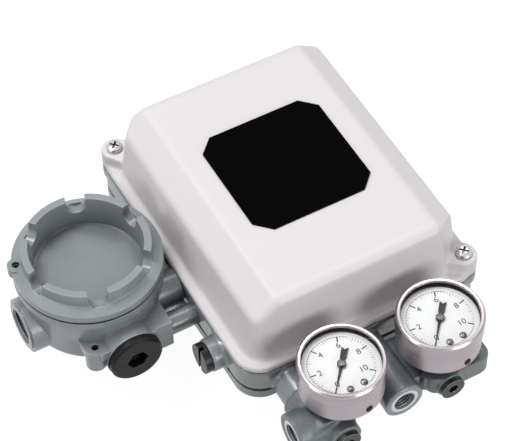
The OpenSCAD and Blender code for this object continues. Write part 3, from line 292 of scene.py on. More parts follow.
def coated(name, light, dark, edge_highlight, lumps, pits, rough, relief, ease=0.0006, painted_shade_share=0.35, metal=0.0, gloss=0.5,
           reach=0.012):
    """A coated or raw surface: two tones of grain, a painted highlight on the edges, a painted shade in the
    hollows, and its relief.
    """
    made = bpy.data.materials.new(name)
    made.use_nodes = True
    tree = made.node_tree
    skin = tree.nodes["Principled BSDF"]
    grain = placed(tree, cast_grain, Lumps=lumps, Pits=pits)
    soft = placed(tree, eased_edge, Radius=ease)
    hollow = placed(tree, painted_hollow_shade, Reach=reach)
    highlight_share, hollow_shade, rough_spread = 0.5, 0.35, 0.06
    tint = mixed(tree, grain.outputs["Tone"], dark, light)
    # The lighter edge colour is a painted highlight.
    tint = mixed(tree, math_node(tree, "MULTIPLY", soft.outputs["Edge"], highlight_share), tint, edge_highlight)
    shade = tuple(c * hollow_shade for c in dark[:3]) + (1.0,)
    # The darker colour in the hollows is a painted shade.
    tint = mixed(tree, math_node(tree, "MULTIPLY", hollow.outputs["Hollow"], painted_shade_share), tint, shade)
    tree.links.new(tint, skin.inputs["Base Color"])
    sheen = ranged(tree, grain.outputs["Tone"], rough + rough_spread, rough - rough_spread)
    tree.links.new(sheen, skin.inputs["Roughness"])
    skin.inputs["Metallic"].default_value = metal
    skin.inputs["Specular IOR Level"].default_value = gloss
    bump = tree.nodes.new("ShaderNodeBump")
    bump.inputs["Strength"].default_value = 0.6
    bump.inputs["Distance"].default_value = relief
    tree.links.new(grain.outputs["Height"], bump.inputs["Height"])
    tree.links.new(soft.outputs["Normal"], bump.inputs["Normal"])
    tree.links.new(bump.outputs["Normal"], skin.inputs["Normal"])
    return made


def dress(material, *names):
    for name in names:
        nodes[name].data.materials.clear()
        nodes[name].data.materials.append(material)


# The grey paint's strong, far-reaching darkening of hollows is a painted shade, and its lighter edge colour a
# painted highlight.
grey_light, grey_dark, grey_highlight = linear(150, 156, 159), linear(134, 141, 144), linear(204, 209, 211)
grey_paint = coated("grey_paint", grey_light, grey_dark, grey_highlight, lumps=160.0, pits=1100.0,
                    rough=0.28, relief=0.00008, ease=0.001, painted_shade_share=0.95, gloss=0.7, reach=0.055)
dress(grey_paint, "rear_plate")

fibre = coated("gasket_fibre", linear(38, 38, 40), linear(24, 24, 26), linear(46, 46, 48), lumps=400.0,
               pits=2500.0, rough=0.75, relief=0.00006, ease=0.0002)
dress(fibre, "rear_gasket")


def turned(name, colour, streak, along, rough, relief=0.00003, ease=0.0003, edge_highlight=(0.9, 0.9, 0.9, 1.0)):
    """Bare metal with fine tool marks. along is how densely they lie in x, y and z, in marks per metre."""
    made = bpy.data.materials.new(name)
    made.use_nodes = True
    tree = made.node_tree
    skin = tree.nodes["Principled BSDF"]
    skin.inputs["Metallic"].default_value = 1.0
    spot = tree.nodes.new("ShaderNodeTexCoord")
    pull = tree.nodes.new("ShaderNodeMapping")
    pull.inputs["Scale"].default_value = along
    tree.links.new(spot.outputs["Object"], pull.inputs["Vector"])
    marks = tree.nodes.new("ShaderNodeTexNoise")
    marks.inputs["Scale"].default_value = 1.0
    marks.inputs["Detail"].default_value = 3.0
    tree.links.new(pull.outputs["Vector"], marks.inputs["Vector"])
    clouds = placed(tree, cast_grain, Lumps=90.0, Pits=500.0)
    soft = placed(tree, eased_edge, Radius=ease)
    hollow = placed(tree, painted_hollow_shade, Reach=0.004)
    highlight_share, hollow_shade, hollow_share = 0.35, 0.12, 0.95
    tint = mixed(tree, marks.outputs["Fac"], streak, colour)
    # The lighter edge colour is a painted highlight.
    tint = mixed(tree, math_node(tree, "MULTIPLY", soft.outputs["Edge"], highlight_share), tint, edge_highlight)
    shade = tuple(c * hollow_shade for c in streak[:3]) + (1.0,)
    # The darker colour in the hollows is a painted shade.
    tint = mixed(tree, math_node(tree, "MULTIPLY", hollow.outputs["Hollow"], hollow_share), tint, shade)
    tree.links.new(tint, skin.inputs["Base Color"])
    worn = math_node(tree, "MULTIPLY_ADD", clouds.outputs["Tone"], 0.4)
    tree.links.new(marks.outputs["Fac"], worn.node.inputs[2])
    tree.links.new(ranged(tree, worn, rough - 0.08, rough + 0.1), skin.inputs["Roughness"])
    bump = tree.nodes.new("ShaderNodeBump")
    bump.inputs["Strength"].default_value = 0.5
    bump.inputs["Distance"].default_value = relief
    tree.links.new(marks.outputs["Fac"], bump.inputs["Height"])
    tree.links.new(soft.outputs["Normal"], bump.inputs["Normal"])
    tree.links.new(bump.outputs["Normal"], skin.inputs["Normal"])
    return made


plated = turned("plated_steel", linear(222, 219, 214), linear(168, 165, 162),
                along=(900.0, 900.0, 900.0), rough=0.24)
dress(plated, "rear_screws")

# Body: an open aluminium tray cast in one with the supply boss, the two port
# pillars, the selector boss and the cover's screw lugs, and sprayed grey.


def softened(node, body, skin_size, material, passes=4):
    """A copy of a node's solid with its edges rounded as the mould leaves them, shown in its place."""
    bpy.ops.object.select_all(action="DESELECT")
    nodes[node].select_set(True)
    bpy.context.view_layer.objects.active = nodes[node]
    bpy.ops.object.duplicate()
    piece = bpy.context.active_object
    piece.name = node + "_cast"
    del piece["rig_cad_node"]
    piece.parent = None
    bpy.ops.object.mode_set(mode="EDIT")
    bpy.ops.mesh.customdata_custom_splitnormals_clear()
    bpy.ops.mesh.select_all(action="SELECT")
    bpy.ops.mesh.remove_doubles(threshold=0.000004)
    bpy.ops.object.mode_set(mode="OBJECT")
    skin = piece.modifiers.new("skin", "REMESH")
    skin.mode = "VOXEL"
    skin.voxel_size = skin_size
    bpy.ops.object.modifier_apply(modifier="skin")
    ease = piece.modifiers.new("ease", "SMOOTH")
    ease.factor = 0.5
    ease.iterations = passes
    bpy.ops.object.modifier_apply(modifier="ease")
    bpy.ops.object.shade_smooth()
    piece.data.materials.clear()
    piece.data.materials.append(material)
    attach(piece, body)
    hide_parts(node)


# The body's paint is the grey paint made darker, a painted shade for the walls under the cover.
body_light, body_dark, body_highlight = linear(136, 143, 145), linear(114, 121, 123), linear(208, 213, 215)
shaded_body_paint = coated("shaded_body_paint", body_light, body_dark, body_highlight, lumps=160.0, pits=1100.0,
                    rough=0.25, relief=0.00008, ease=0.001, painted_shade_share=0.95, gloss=0.95, reach=0.028)
softened("body_case", "housing", skin_size=0.85 * MM, material=shaded_body_paint, passes=3)

# Supply mouth: the seat round it is cut bare by the machine, and the mouth holds
# a taper thread for the pipe's fitting. The outlet mouth is cut the same way.
port_face_z, port_y, port_x = 18.0 * MM, -122.3 * MM, -2.5 * MM
mouth_r, seat_outer, seat_thick, seat_inset = 5.7 * MM, 8.1 * MM, 0.2 * MM, 0.42 * MM
thread_inset, thread_pitch, thread_turns, thread_h = 1.2 * MM, 1.34 * MM, 8, 0.55 * MM


def thickened(piece, thick, offset=0.0):
    """A sheet given its wall: half to each side, or all to one."""
    wall = piece.modifiers.new("thick", "SOLIDIFY")
    wall.thickness = thick
    wall.offset = offset
    bpy.ops.object.modifier_apply(modifier="thick")


def eased_rims(piece, width, segments=2):
    """The active piece with its sharp rims rounded and its faces smooth up to them."""
    ease = piece.modifiers.new("rims", "BEVEL")
    ease.width = width
    ease.segments = segments
    ease.limit_method = "ANGLE"
    bpy.ops.object.modifier_apply(modifier="rims")
    bpy.ops.object.shade_smooth_by_angle(angle=radians(40))


def machined_seat(name, centre, turn, inner, outer, thick, body, material):
    """A thin flat ring, as a cutter leaves it round a mouth. turn is its rotation from lying flat."""
    bpy.ops.object.select_all(action="DESELECT")
    bpy.ops.mesh.primitive_circle_add(vertices=72, radius=outer, location=centre, rotation=turn)
    ring = bpy.context.active_object
    ring.name = name
    bpy.ops.object.mode_set(mode="EDIT")
    bpy.ops.mesh.select_all(action="SELECT")
    bpy.ops.mesh.extrude_edges_move()
    bpy.ops.transform.resize(value=(inner / outer,) * 3)
    bpy.ops.mesh.select_all(action="SELECT")
    bpy.ops.mesh.normals_make_consistent(inside=False)
    bpy.ops.object.mode_set(mode="OBJECT")
    bpy.ops.object.transform_apply(location=True, rotation=True, scale=True)
    thickened(ring, thick)
    eased_rims(ring, thick * 0.3)
    ring.data.materials.append(material)
    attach(ring, body)


def inner_thread(name, mouth, turn, radius, pitch, turns, height, body, material):
    """The helical ridge of a thread in a mouth's wall. turn carries +Z to the way out of the mouth."""
    bpy.ops.object.select_all(action="DESELECT")
    bpy.ops.mesh.primitive_circle_add(vertices=4, radius=height, fill_type="NOTHING",
                                      location=(radius, 0.0, 0.0), rotation=(pi / 2, 0.0, 0.0))
    ridge = bpy.context.active_object
    ridge.name = name
    bpy.ops.object.transform_apply(location=True, rotation=True, scale=True)
    bpy.ops.object.mode_set(mode="EDIT")
    bpy.ops.mesh.select_all(action="SELECT")
    bpy.ops.transform.resize(value=(1.0, 1.0, 0.42 * pitch / height), center_override=(radius, 0.0, 0.0))
    bpy.ops.object.mode_set(mode="OBJECT")
    helix = ridge.modifiers.new("helix", "SCREW")
    helix.axis = "Z"
    helix.screw_offset = -pitch
    helix.iterations = turns
    helix.steps = 40
    helix.render_steps = 40
    helix.use_merge_vertices = False
    bpy.ops.object.modifier_apply(modifier="helix")
    bpy.ops.object.mode_set(mode="EDIT")
    bpy.ops.mesh.select_all(action="SELECT")
    bpy.ops.mesh.remove_doubles(threshold=0.000002)
    bpy.ops.mesh.fill_holes(sides=8)
    bpy.ops.mesh.select_all(action="SELECT")
    bpy.ops.mesh.normals_make_consistent(inside=False)
    bpy.ops.object.mode_set(mode="OBJECT")
    ridge.rotation_euler = turn
    ridge.location = mouth
    bpy.ops.object.transform_apply(location=True, rotation=True, scale=True)
    bpy.ops.object.shade_smooth_by_angle(angle=radians(35))
    ridge.data.materials.append(material)
    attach(ridge, body)


bare_cut = turned("bare_cut_aluminium", linear(214, 216, 220), linear(170, 174, 178),
                  along=(700.0, 700.0, 700.0), rough=0.36)
facing_front, facing_left = (pi / 2, 0.0, 0.0), (0.0, -pi / 2, 0.0)
machined_seat("supply_seat", (port_x, port_y + seat_inset, port_face_z), facing_front, inner=mouth_r,
              outer=seat_outer, thick=seat_thick, body="housing", material=bare_cut)
# The thread is bare cut aluminium made dark, a painted shade deep in the mouth.
shaded_thread_cut = turned("cut_thread_shaded", linear(118, 121, 123), linear(84, 87, 89),
                    along=(600.0, 600.0, 600.0), rough=0.4)
inner_thread("supply_thread", (port_x, port_y + thread_inset, port_face_z), facing_front,
             radius=mouth_r, pitch=thread_pitch, turns=thread_turns, height=thread_h,
             body="housing", material=shaded_thread_cut)

# Feedback shaft: turned stainless steel in a bronze bush with a lip seal, held
# by a retaining ring. The pressed span arm and its clamp pin sit on its top.
shaft_steel = turned("shaft_steel", linear(214, 212, 208), linear(158, 157, 155),
                     along=(60.0, 60.0, 3200.0), rough=0.26)
dress(shaft_steel, "feedback_shaft", "span_pin")
bronze = turned("bush_bronze", linear(196, 158, 96), linear(142, 108, 58), along=(80.0, 80.0, 2600.0),
                rough=0.34)
dress(bronze, "shaft_bush")
seal_rubber = coated("seal_rubber", linear(20, 19, 19), linear(12, 12, 12), linear(30, 30, 30),
                     lumps=500.0, pits=3000.0, rough=0.62, relief=0.00003, ease=0.0002, gloss=0.2)
dress(seal_rubber, "shaft_seal")
spring_steel = turned("dark_spring_steel", linear(122, 120, 120), linear(76, 75, 76),
                      along=(900.0, 900.0, 900.0), rough=0.36)
dress(spring_steel, "shaft_clip")
zinc_plate = turned("zinc_plate", linear(206, 204, 190), linear(164, 162, 150),
                    along=(220.0, 1400.0, 220.0), rough=0.36)
dress(zinc_plate, "span_arm")

# Torque motor: a soft iron yoke and poles, black barium magnets, and a coil
# wound on a bobbin. It pulls the beam in step with the signal current.
soft_iron = turned("soft_iron", linear(150, 148, 146), linear(108, 106, 106),
                   along=(300.0, 1500.0, 300.0), rough=0.42)
dress(soft_iron, "motor_yoke", "motor_poles")
magnet_black = coated("magnet_black", linear(58, 58, 61), linear(40, 40, 43), linear(84, 84, 86),
                      lumps=500.0, pits=3200.0, rough=0.5, relief=0.00005, ease=0.0003)
dress(magnet_black, "motor_magnets")

winding = bpy.data.materials.new("coil_winding")
winding.use_nodes = True
tree = winding.node_tree
skin = tree.nodes["Principled BSDF"]
spot = tree.nodes.new("ShaderNodeTexCoord")
turns = tree.nodes.new("ShaderNodeTexWave")
turns.wave_type = "BANDS"
turns.bands_direction = "X"
turns.inputs["Scale"].default_value = 820.0
turns.inputs["Distortion"].default_value = 0.6
turns.inputs["Detail"].default_value = 1.0
tree.links.new(spot.outputs["Object"], turns.inputs["Vector"])
wear = placed(tree, cast_grain, Lumps=300.0, Pits=1800.0)
copper_dark, copper_light = linear(112, 54, 30), linear(188, 104, 58)
lacquer = mixed(tree, turns.outputs["Fac"], copper_dark, copper_light)
worn_share = math_node(tree, "MULTIPLY", wear.outputs["Tone"], 0.4)
tree.links.new(mixed(tree, worn_share, lacquer, linear(96, 44, 24)), skin.inputs["Base Color"])
skin.inputs["Metallic"].default_value = 0.55
tree.links.new(ranged(tree, wear.outputs["Tone"], 0.42, 0.3), skin.inputs["Roughness"])
bump = tree.nodes.new("ShaderNodeBump")
bump.inputs["Strength"].default_value = 0.9
bump.inputs["Distance"].default_value = 0.00012
tree.links.new(turns.outputs["Fac"], bump.inputs["Height"])
tree.links.new(bump.outputs["Normal"], skin.inputs["Normal"])
dress(winding, "motor_coil")

# Beam: a milled aluminium balance beam with an iron armature, in a bent
# bracket. Its left end covers a brass nozzle fed through a copper tube.
milled = turned("milled_aluminium", linear(204, 206, 208), linear(164, 166, 170),
                along=(2200.0, 180.0, 180.0), rough=0.36)
dress(milled, "beam")
dress(zinc_plate, "pivot_bracket")
brass = turned("turned_brass", linear(208, 176, 104), linear(158, 126, 66),
               along=(120.0, 120.0, 2600.0), rough=0.3)
dress(brass, "nozzle")
copper = turned("drawn_copper", linear(198, 122, 86), linear(148, 80, 54), along=(500.0, 500.0, 500.0),
                rough=0.36)
dress(copper, "nozzle_tube")

# Pilot relay: a die-cast block with a round diaphragm cover on four screws.
# It turns the nozzle's back pressure into the outlet pressure.
relay_cast = coated("relay_casting", linear(176, 179, 182), linear(144, 147, 151),
                    linear(206, 208, 210), lumps=220.0, pits=1500.0, rough=0.44, relief=0.0001,
                    ease=0.0006, metal=0.75)
dress(relay_cast, "relay_body", "relay_cap")
dress(plated, "relay_screws")

# Zero adjuster: a knurled brass wheel on a bent bracket. It presses a small wound
# spring of hard wire on the beam's end.
dress(zinc_plate, "zero_bracket")
dress(brass, "zero_wheel")
wire_r = 0.4 * MM


def drawn_wire(name, path, material):
    """A round wire along a path of points, as one closed mesh."""
    bpy.ops.object.select_all(action="DESELECT")
    bpy.ops.curve.primitive_nurbs_path_add()
    wire = bpy.context.active_object
    wire.name = name
    wire.data.splines.clear()
    run = wire.data.splines.new("POLY")
    run.points.add(len(path) - 1)
    for point, place in zip(run.points, path):
        point.co = (*place, 1.0)
    wire.data.bevel_depth = wire_r
    wire.data.bevel_resolution = 2
    wire.data.use_fill_caps = True
    bpy.ops.object.convert(target="MESH")
    wire = bpy.context.active_object
    bpy.ops.object.mode_set(mode="EDIT")
    bpy.ops.mesh.select_all(action="SELECT")
    bpy.ops.mesh.remove_doubles(threshold=0.000002)
    bpy.ops.mesh.normals_make_consistent(inside=False)
    bpy.ops.object.mode_set(mode="OBJECT")
    bpy.ops.object.transform_apply(location=True, rotation=True, scale=True)
    bpy.ops.object.shade_smooth_by_angle(angle=radians(50))
    wire.data.materials.clear()
    wire.data.materials.append(material)
    return wire


zero_low, zero_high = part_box("zero_spring")
zero_axis = (zero_low + zero_high) / 2
zero_turns, flat_turns, zero_r, steps = 7, 0.8, 2.2 * MM, 24
zero_path = []
for n in range(zero_turns * steps + 1):
    turn = n / steps
    climb = min(max((turn - flat_turns) / (zero_turns - 2 * flat_turns), 0.0), 1.0)
    level = zero_low.z + wire_r + climb * (zero_high.z - zero_low.z - 2 * wire_r)
    round_x, round_y = zero_r * cos(2 * pi * turn), zero_r * sin(2 * pi * turn)
    zero_path.append((zero_axis.x + round_x, zero_axis.y + round_y, level))
zero_coil = drawn_wire("zero_coil", zero_path, shaft_steel)
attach(zero_coil, "housing")
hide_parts("zero_spring")
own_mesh(zero_coil)

# Feedback spring: hard wire wound as a close coil, with an eye at each end. It
# hangs between the post on the beam and the span pin, and turns lever travel into force.
post = Vector((-2.0, -6.0, 55.0)) * MM
pin = Vector((30.0, 12.0, 55.0)) * MM
along = (pin - post).normalized()
across = Vector((-along.y, along.x, 0.0))
span = (pin - post).length
eye_r, coil_r, coil_l, coil_turns = 1.95 * MM, 2.8 * MM, 20.0 * MM, 13
eye_steps, eye_sweep = 18, radians(200.0)
coil_start = (span - coil_l) / 2
pull_path = []
for n in range(eye_steps + 1):
    angle = eye_sweep - eye_sweep * n / eye_steps
    pull_path.append(post + eye_r * (cos(angle) * along - sin(angle) * across))
for n in range(coil_turns * steps + 1):
    turn = n / steps
    swell = min(turn * 2, (coil_turns - turn) * 2, 1.0)
    ring = cos(2 * pi * turn) * across + Vector((0.0, 0.0, sin(2 * pi * turn)))
    pull_path.append(post + (coil_start + coil_l * turn / coil_turns) * along + swell * coil_r * ring)
for n in range(eye_steps + 1):
    angle = pi + eye_sweep * n / eye_steps
    pull_path.append(pin + eye_r * (cos(angle) * along - sin(angle) * across))
pull_coil = drawn_wire("feedback_coil", pull_path, shaft_steel)
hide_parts("feedback_spring")
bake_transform(pull_coil)

# Selector: a black moulded cap with a coin slot on the spindle that changes
# the relay from automatic to manual.
black_moulding = coated("black_moulding", linear(24, 24, 26), linear(15, 15, 17), linear(60, 60, 64),
                        lumps=300.0, pits=2200.0, rough=0.34, relief=0.00003, ease=0.0004, gloss=0.3)
dress(black_moulding, "selector")

# Terminal box: a round aluminium casting, sprayed grey, with two conduit
# mouths and an earth lug. A stud and a hollow nipple carry it on the body.
dress(grey_paint, "terminal_box")
# The pillar takes the body's darker copy of the grey paint, a painted shade.
dress(shaded_body_paint, "support_pillar")
dress(plated, "wire_nipple", "terminal_screws")
phenolic = coated("terminal_phenolic", linear(62, 50, 44), linear(44, 35, 31), linear(84, 70, 62),
                  lumps=400.0, pits=2600.0, rough=0.42, relief=0.00004, ease=0.0004)
dress(phenolic, "terminal_block")
conduit_r, conduit_mouth = 9.3 * MM, (-145.4 * MM, 8.8 * MM, 20.0 * MM)
inner_thread("conduit_thread", conduit_mouth, facing_left, radius=conduit_r, pitch=1.81 * MM, turns=5,
             height=0.62 * MM, body="housing", material=grey_paint)

# Neck web: a thin rib under the wire neck, between it and the pillar, put where the gap between box and body
# shows only shade. It takes the body's darker copy of the grey paint, a painted shade.
pillar_low, pillar_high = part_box("support_pillar")
nipple_low, nipple_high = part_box("wire_nipple")
web_front, web_back = pillar_high.y - 1.5 * MM, (nipple_low.y + nipple_high.y) / 2
web_left, web_right = pillar_low.x - 1.0 * MM, pillar_low.x + 21.0 * MM
web_level, web_thick, web_rim = (pillar_low.z + pillar_high.z) / 2, 3.0 * MM, 0.8 * MM


def cast_rib(name, left, right, front, back, level, thick, rim):
    """A flat rib between two castings, lying in z at its level, with rounded rims."""
    bpy.ops.object.select_all(action="DESELECT")
    middle = ((left + right) / 2, (front + back) / 2, level)
    bpy.ops.mesh.primitive_plane_add(size=1.0, location=middle)
    made = bpy.context.active_object
    made.name = name
    made.scale = (right - left, back - front, 1.0)
    bpy.ops.object.transform_apply(location=True, rotation=True, scale=True)
    thickened(made, thick)
    eased_rims(made, rim, 3)
    return made


web = cast_rib("neck_shade_web", web_left, web_right, web_front, web_back, web_level, web_thick, web_rim)
web.data.materials.append(shaded_body_paint)
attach(web, "housing")

# Blanking plug: a moulded brown-black plug with a hexagon socket, screwed into
# the front conduit mouth on a flat gasket.
plug_black = coated("plug_black", linear(30, 27, 27), linear(17, 15, 15), linear(86, 80, 79),
                    lumps=260.0, pits=1800.0, rough=0.38, relief=0.00012, ease=0.0007, gloss=0.16)
dress(plug_black, "conduit_plug")
dress(seal_rubber, "plug_gasket")

# Lid: an aluminium casting that screws into the box on a flat seal, with a
# castellated ring for a spanner and a grub screw that locks it.
dress(grey_paint, "terminal_lid")
dress(seal_rubber, "lid_seal")
dress(spring_steel, "lid_lock_screw")

# Cover: a deep aluminium die casting, sprayed warm white, with a bare black
# plate on its top. Two captive cross-head screws hold it on a thin gasket.
white_light, white_dark, white_highlight = linear(230, 226, 228), linear(226, 222, 224), linear(236, 233, 234)
cover_paint = coated("cover_paint", white_light, white_dark, white_highlight, lumps=70.0, pits=1300.0,
                     rough=0.4, relief=0.00005, ease=0.0012, painted_shade_share=0.06, gloss=0.38)
softened("cover", "cover", skin_size=0.95 * MM, material=cover_paint, passes=2)
dress(fibre, "cover_gasket")
dress(plated, "cover_screws")
gloss_black = coated("label_black", linear(4, 4, 4), linear(3, 3, 3), linear(40, 40, 43), lumps=120.0,
                     pits=2600.0, rough=0.24, relief=0.00001, ease=0.0004, painted_shade_share=0.1, gloss=0.015)
dress(gloss_black, "cover_label")

# Gauge blocks: two sand-cast aluminium blocks on the body's pillars, sprayed
# grey, each with a blackened socket plug; the left one has the outlet mouth.
# The blocks' grey is the grey paint made darker, a painted shade under the gauges.
block_light, block_dark, block_highlight = linear(122, 129, 131), linear(95, 102, 104), linear(186, 192, 193)
shaded_block_paint = coated("shaded_block_paint", block_light, block_dark, block_highlight, lumps=320.0, pits=1500.0,
                     rough=0.4, relief=0.00016, ease=0.0008, painted_shade_share=0.85, gloss=0.6, reach=0.04)
softened("left_block", "housing", skin_size=0.6 * MM, material=shaded_block_paint)
softened("right_block", "housing", skin_size=0.6 * MM, material=shaded_block_paint)
black_oxide = turned("black_oxide", linear(92, 94, 93), linear(54, 56, 55), along=(700.0, 700.0, 700.0),
                     rough=0.42)
dress(black_oxide, "left_block_plug", "right_block_plug")
outlet_x, outlet_y = -60.0 * MM, -112.0 * MM
machined_seat("outlet_seat", (outlet_x + seat_inset, outlet_y, port_face_z), facing_left, inner=mouth_r,
              outer=seat_outer, thick=seat_thick, body="housing", material=bare_cut)
inner_thread("outlet_thread", (outlet_x + thread_inset, outlet_y, port_face_z), facing_left,
             radius=mouth_r, pitch=thread_pitch, turns=thread_turns, height=thread_h,
             body="housing", material=shaded_thread_cut)

# Block rib: a rib between the right block and the supply boss beside it, put where the gap shows only shade.
# It takes the blocks' darker paint, a painted shade.
right_low, right_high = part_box("right_block")
rib_left, rib_right = port_x + 6.0 * MM, right_low.x + 5.0 * MM
rib_front, rib_back = right_low.y + 9.0 * MM, right_high.y - 1.0 * MM
rib_thick, rib_rim = 9.0 * MM, 1.5 * MM
rib = cast_rib("block_shade_rib", rib_left, rib_right, rib_front, rib_back, port_face_z, rib_thick, rib_rim)
rib.data.materials.append(shaded_block_paint)
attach(rib, "housing")

# Gauge cases: spun stainless cups, each closed by a crimped bezel of brighter
# stainless over a flat glass, with a white enamelled dial inside.
gauge_sides = ("left", "right")
stainless = turned("spun_stainless", linear(184, 176, 180), linear(150, 142, 146),
                   along=(28.0, 28.0, 2600.0), rough=0.38, relief=0.00002, ease=0.0005)
bezel_bright = turned("bezel_stainless", linear(178, 171, 175), linear(142, 135, 139),
                      along=(28.0, 28.0, 2600.0), rough=0.24, relief=0.00001, ease=0.0004)
dial_white = coated("dial_white", linear(250, 251, 251), linear(246, 247, 247), linear(250, 251, 251),
                    lumps=90.0, pits=3000.0, rough=0.5, relief=0.00001, ease=0.0002, painted_shade_share=0.05)

clear_glass = bpy.data.materials.new("gauge_glass")
clear_glass.use_nodes = True
tree = clear_glass.node_tree
skin = tree.nodes["Principled BSDF"]
skin.inputs["Base Color"].default_value = (1.0, 1.0, 1.0, 1.0)
skin.inputs["Roughness"].default_value = 0.02
skin.inputs["IOR"].default_value = 1.22
skin.inputs["Transmission Weight"].default_value = 1.0
open_way = tree.nodes.new("ShaderNodeBsdfTransparent")
rays = tree.nodes.new("ShaderNodeLightPath")
shadow_free = tree.nodes.new("ShaderNodeMixShader")
tree.links.new(math_node(tree, "MAXIMUM", rays.outputs["Is Shadow Ray"], rays.outputs["Is Diffuse Ray"]),
               shadow_free.inputs["Fac"])
tree.links.new(skin.outputs["BSDF"], shadow_free.inputs[1])
tree.links.new(open_way.outputs["BSDF"], shadow_free.inputs[2])
tree.links.new(shadow_free.outputs["Shader"], tree.nodes["Material Output"].inputs["Surface"])

for side in gauge_sides:
    dress(stainless, side + "_gauge_case")
    dress(bezel_bright, side + "_gauge_bezel")
    dress(clear_glass, side + "_gauge_glass")
    dress(dial_white, side + "_gauge_dial")

# Dial print: a thin film of black ink on the dial, with an arc, three lengths of
# tick and a numeral at each second division.
dial_face, print_lift, print_thick = 49.2 * MM, 0.02 * MM, 0.03 * MM
scale_r, zero_mark, scale_sweep = 16.6 * MM, radians(229.8), radians(270.0)
ring_points, arc_points, arc_inner = 144, 108, 0.988
numeral_h, numeral_r, numeral_draw = 4.5 * MM, 12.2 * MM, 0.8 * MM
ink_black = coated("dial_ink", linear(12, 12, 13), linear(8, 8, 9), linear(12, 12, 13), lumps=900.0,
                   pits=4000.0, rough=0.5, relief=0.000005, ease=0.0001, painted_shade_share=0.0, gloss=0.1)


def dial_middle(side):
    """Where a gauge's spindle stands, in x and y."""
    low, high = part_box(side + "_gauge_dial")
    return (low.x + high.x) / 2, (low.y + high.y) / 2


def joined(pieces, name):
    """Several pieces made one mesh under one name."""
    bpy.ops.object.select_all(action="DESELECT")
    for piece in pieces:
        piece.select_set(True)
    bpy.context.view_layer.objects.active = pieces[0]
    bpy.ops.object.join()
    whole = bpy.context.active_object
    whole.name = name
    return whole


def tick_row(middle, steps, length, width):
    """One printed tick at zero, repeated round the scale, as a new piece of the print."""
    reach = scale_r - length / 2
    at = (middle[0] + reach * cos(zero_mark), middle[1] + reach * sin(zero_mark), dial_face + print_lift)
    bpy.ops.object.select_all(action="DESELECT")
    bpy.ops.mesh.primitive_plane_add(size=1.0, location=at, rotation=(0.0, 0.0, zero_mark))
    row = bpy.context.active_object
    row.scale = (length, width, 1.0)
    bpy.ops.object.transform_apply(location=True, rotation=True, scale=True)
    bpy.ops.object.mode_set(mode="EDIT")
    bpy.ops.mesh.select_all(action="SELECT")
    bpy.ops.mesh.spin(steps=steps, angle=scale_sweep, center=(middle[0], middle[1], at[2]),
                      axis=(0.0, 0.0, 1.0), dupli=True)
    bpy.ops.object.mode_set(mode="OBJECT")
    return row


def scale_arc(middle):
    """The thin line that joins the ticks."""
    bpy.ops.object.select_all(action="DESELECT")
    bpy.ops.mesh.primitive_circle_add(vertices=ring_points, radius=scale_r,
                                      location=(*middle, dial_face + print_lift),
                                      rotation=(0.0, 0.0, zero_mark - scale_sweep))
    arc = bpy.context.active_object
    bpy.ops.object.transform_apply(location=True, rotation=True, scale=True)
    bpy.ops.object.mode_set(mode="EDIT")
    bpy.ops.mesh.select_all(action="DESELECT")
    bpy.ops.object.mode_set(mode="OBJECT")
    for n, point in enumerate(arc.data.vertices):
        point.select = n > arc_points
    bpy.ops.object.mode_set(mode="EDIT")
    bpy.ops.mesh.delete(type="VERT")
    bpy.ops.mesh.select_all(action="SELECT")
    bpy.ops.mesh.extrude_edges_move()
    bpy.ops.transform.resize(value=(arc_inner, arc_inner, 1.0), center_override=(*middle, dial_face))
    bpy.ops.object.mode_set(mode="OBJECT")
    return arc


def numeral(middle, text):
    """A figure of the scale, upright, drawn in a little further where it is wide."""
    reach = numeral_r - numeral_draw * len(text)
    angle = zero_mark - scale_sweep * int(text) / 10
    at = (middle[0] + reach * cos(angle), middle[1] + reach * sin(angle), dial_face + print_lift)
    bpy.ops.object.select_all(action="DESELECT")
    bpy.ops.object.text_add(location=at)
    figure = bpy.context.active_object
    figure.data.body = text
    figure.data.size = numeral_h
    figure.data.align_x = "CENTER"
    figure.data.align_y = "CENTER"
    bpy.ops.object.convert(target="MESH")
    figure = bpy.context.active_object
    bpy.ops.object.transform_apply(location=True, rotation=True, scale=True)
    return figure


for side in gauge_sides:
    middle = dial_middle(side)
    marks = [scale_arc(middle)]
    marks.append(tick_row(middle, steps=50, length=1.3 * MM, width=0.14 * MM))
    marks.append(tick_row(middle, steps=10, length=2.0 * MM, width=0.2 * MM))
    marks.append(tick_row(middle, steps=5, length=3.2 * MM, width=0.6 * MM))
    for text in ("0", "2", "4", "6", "8", "10"):
        marks.append(numeral(middle, text))
    ink = joined(marks, side + "_dial_print")
    bpy.ops.object.mode_set(mode="EDIT")
    bpy.ops.mesh.select_all(action="SELECT")
    bpy.ops.mesh.normals_make_consistent(inside=False)
    bpy.ops.object.mode_set(mode="OBJECT")
    thickened(ink, print_thick, 1.0)
    ink.data.materials.clear()
    ink.data.materials.append(ink_black)
    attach(ink, "housing")

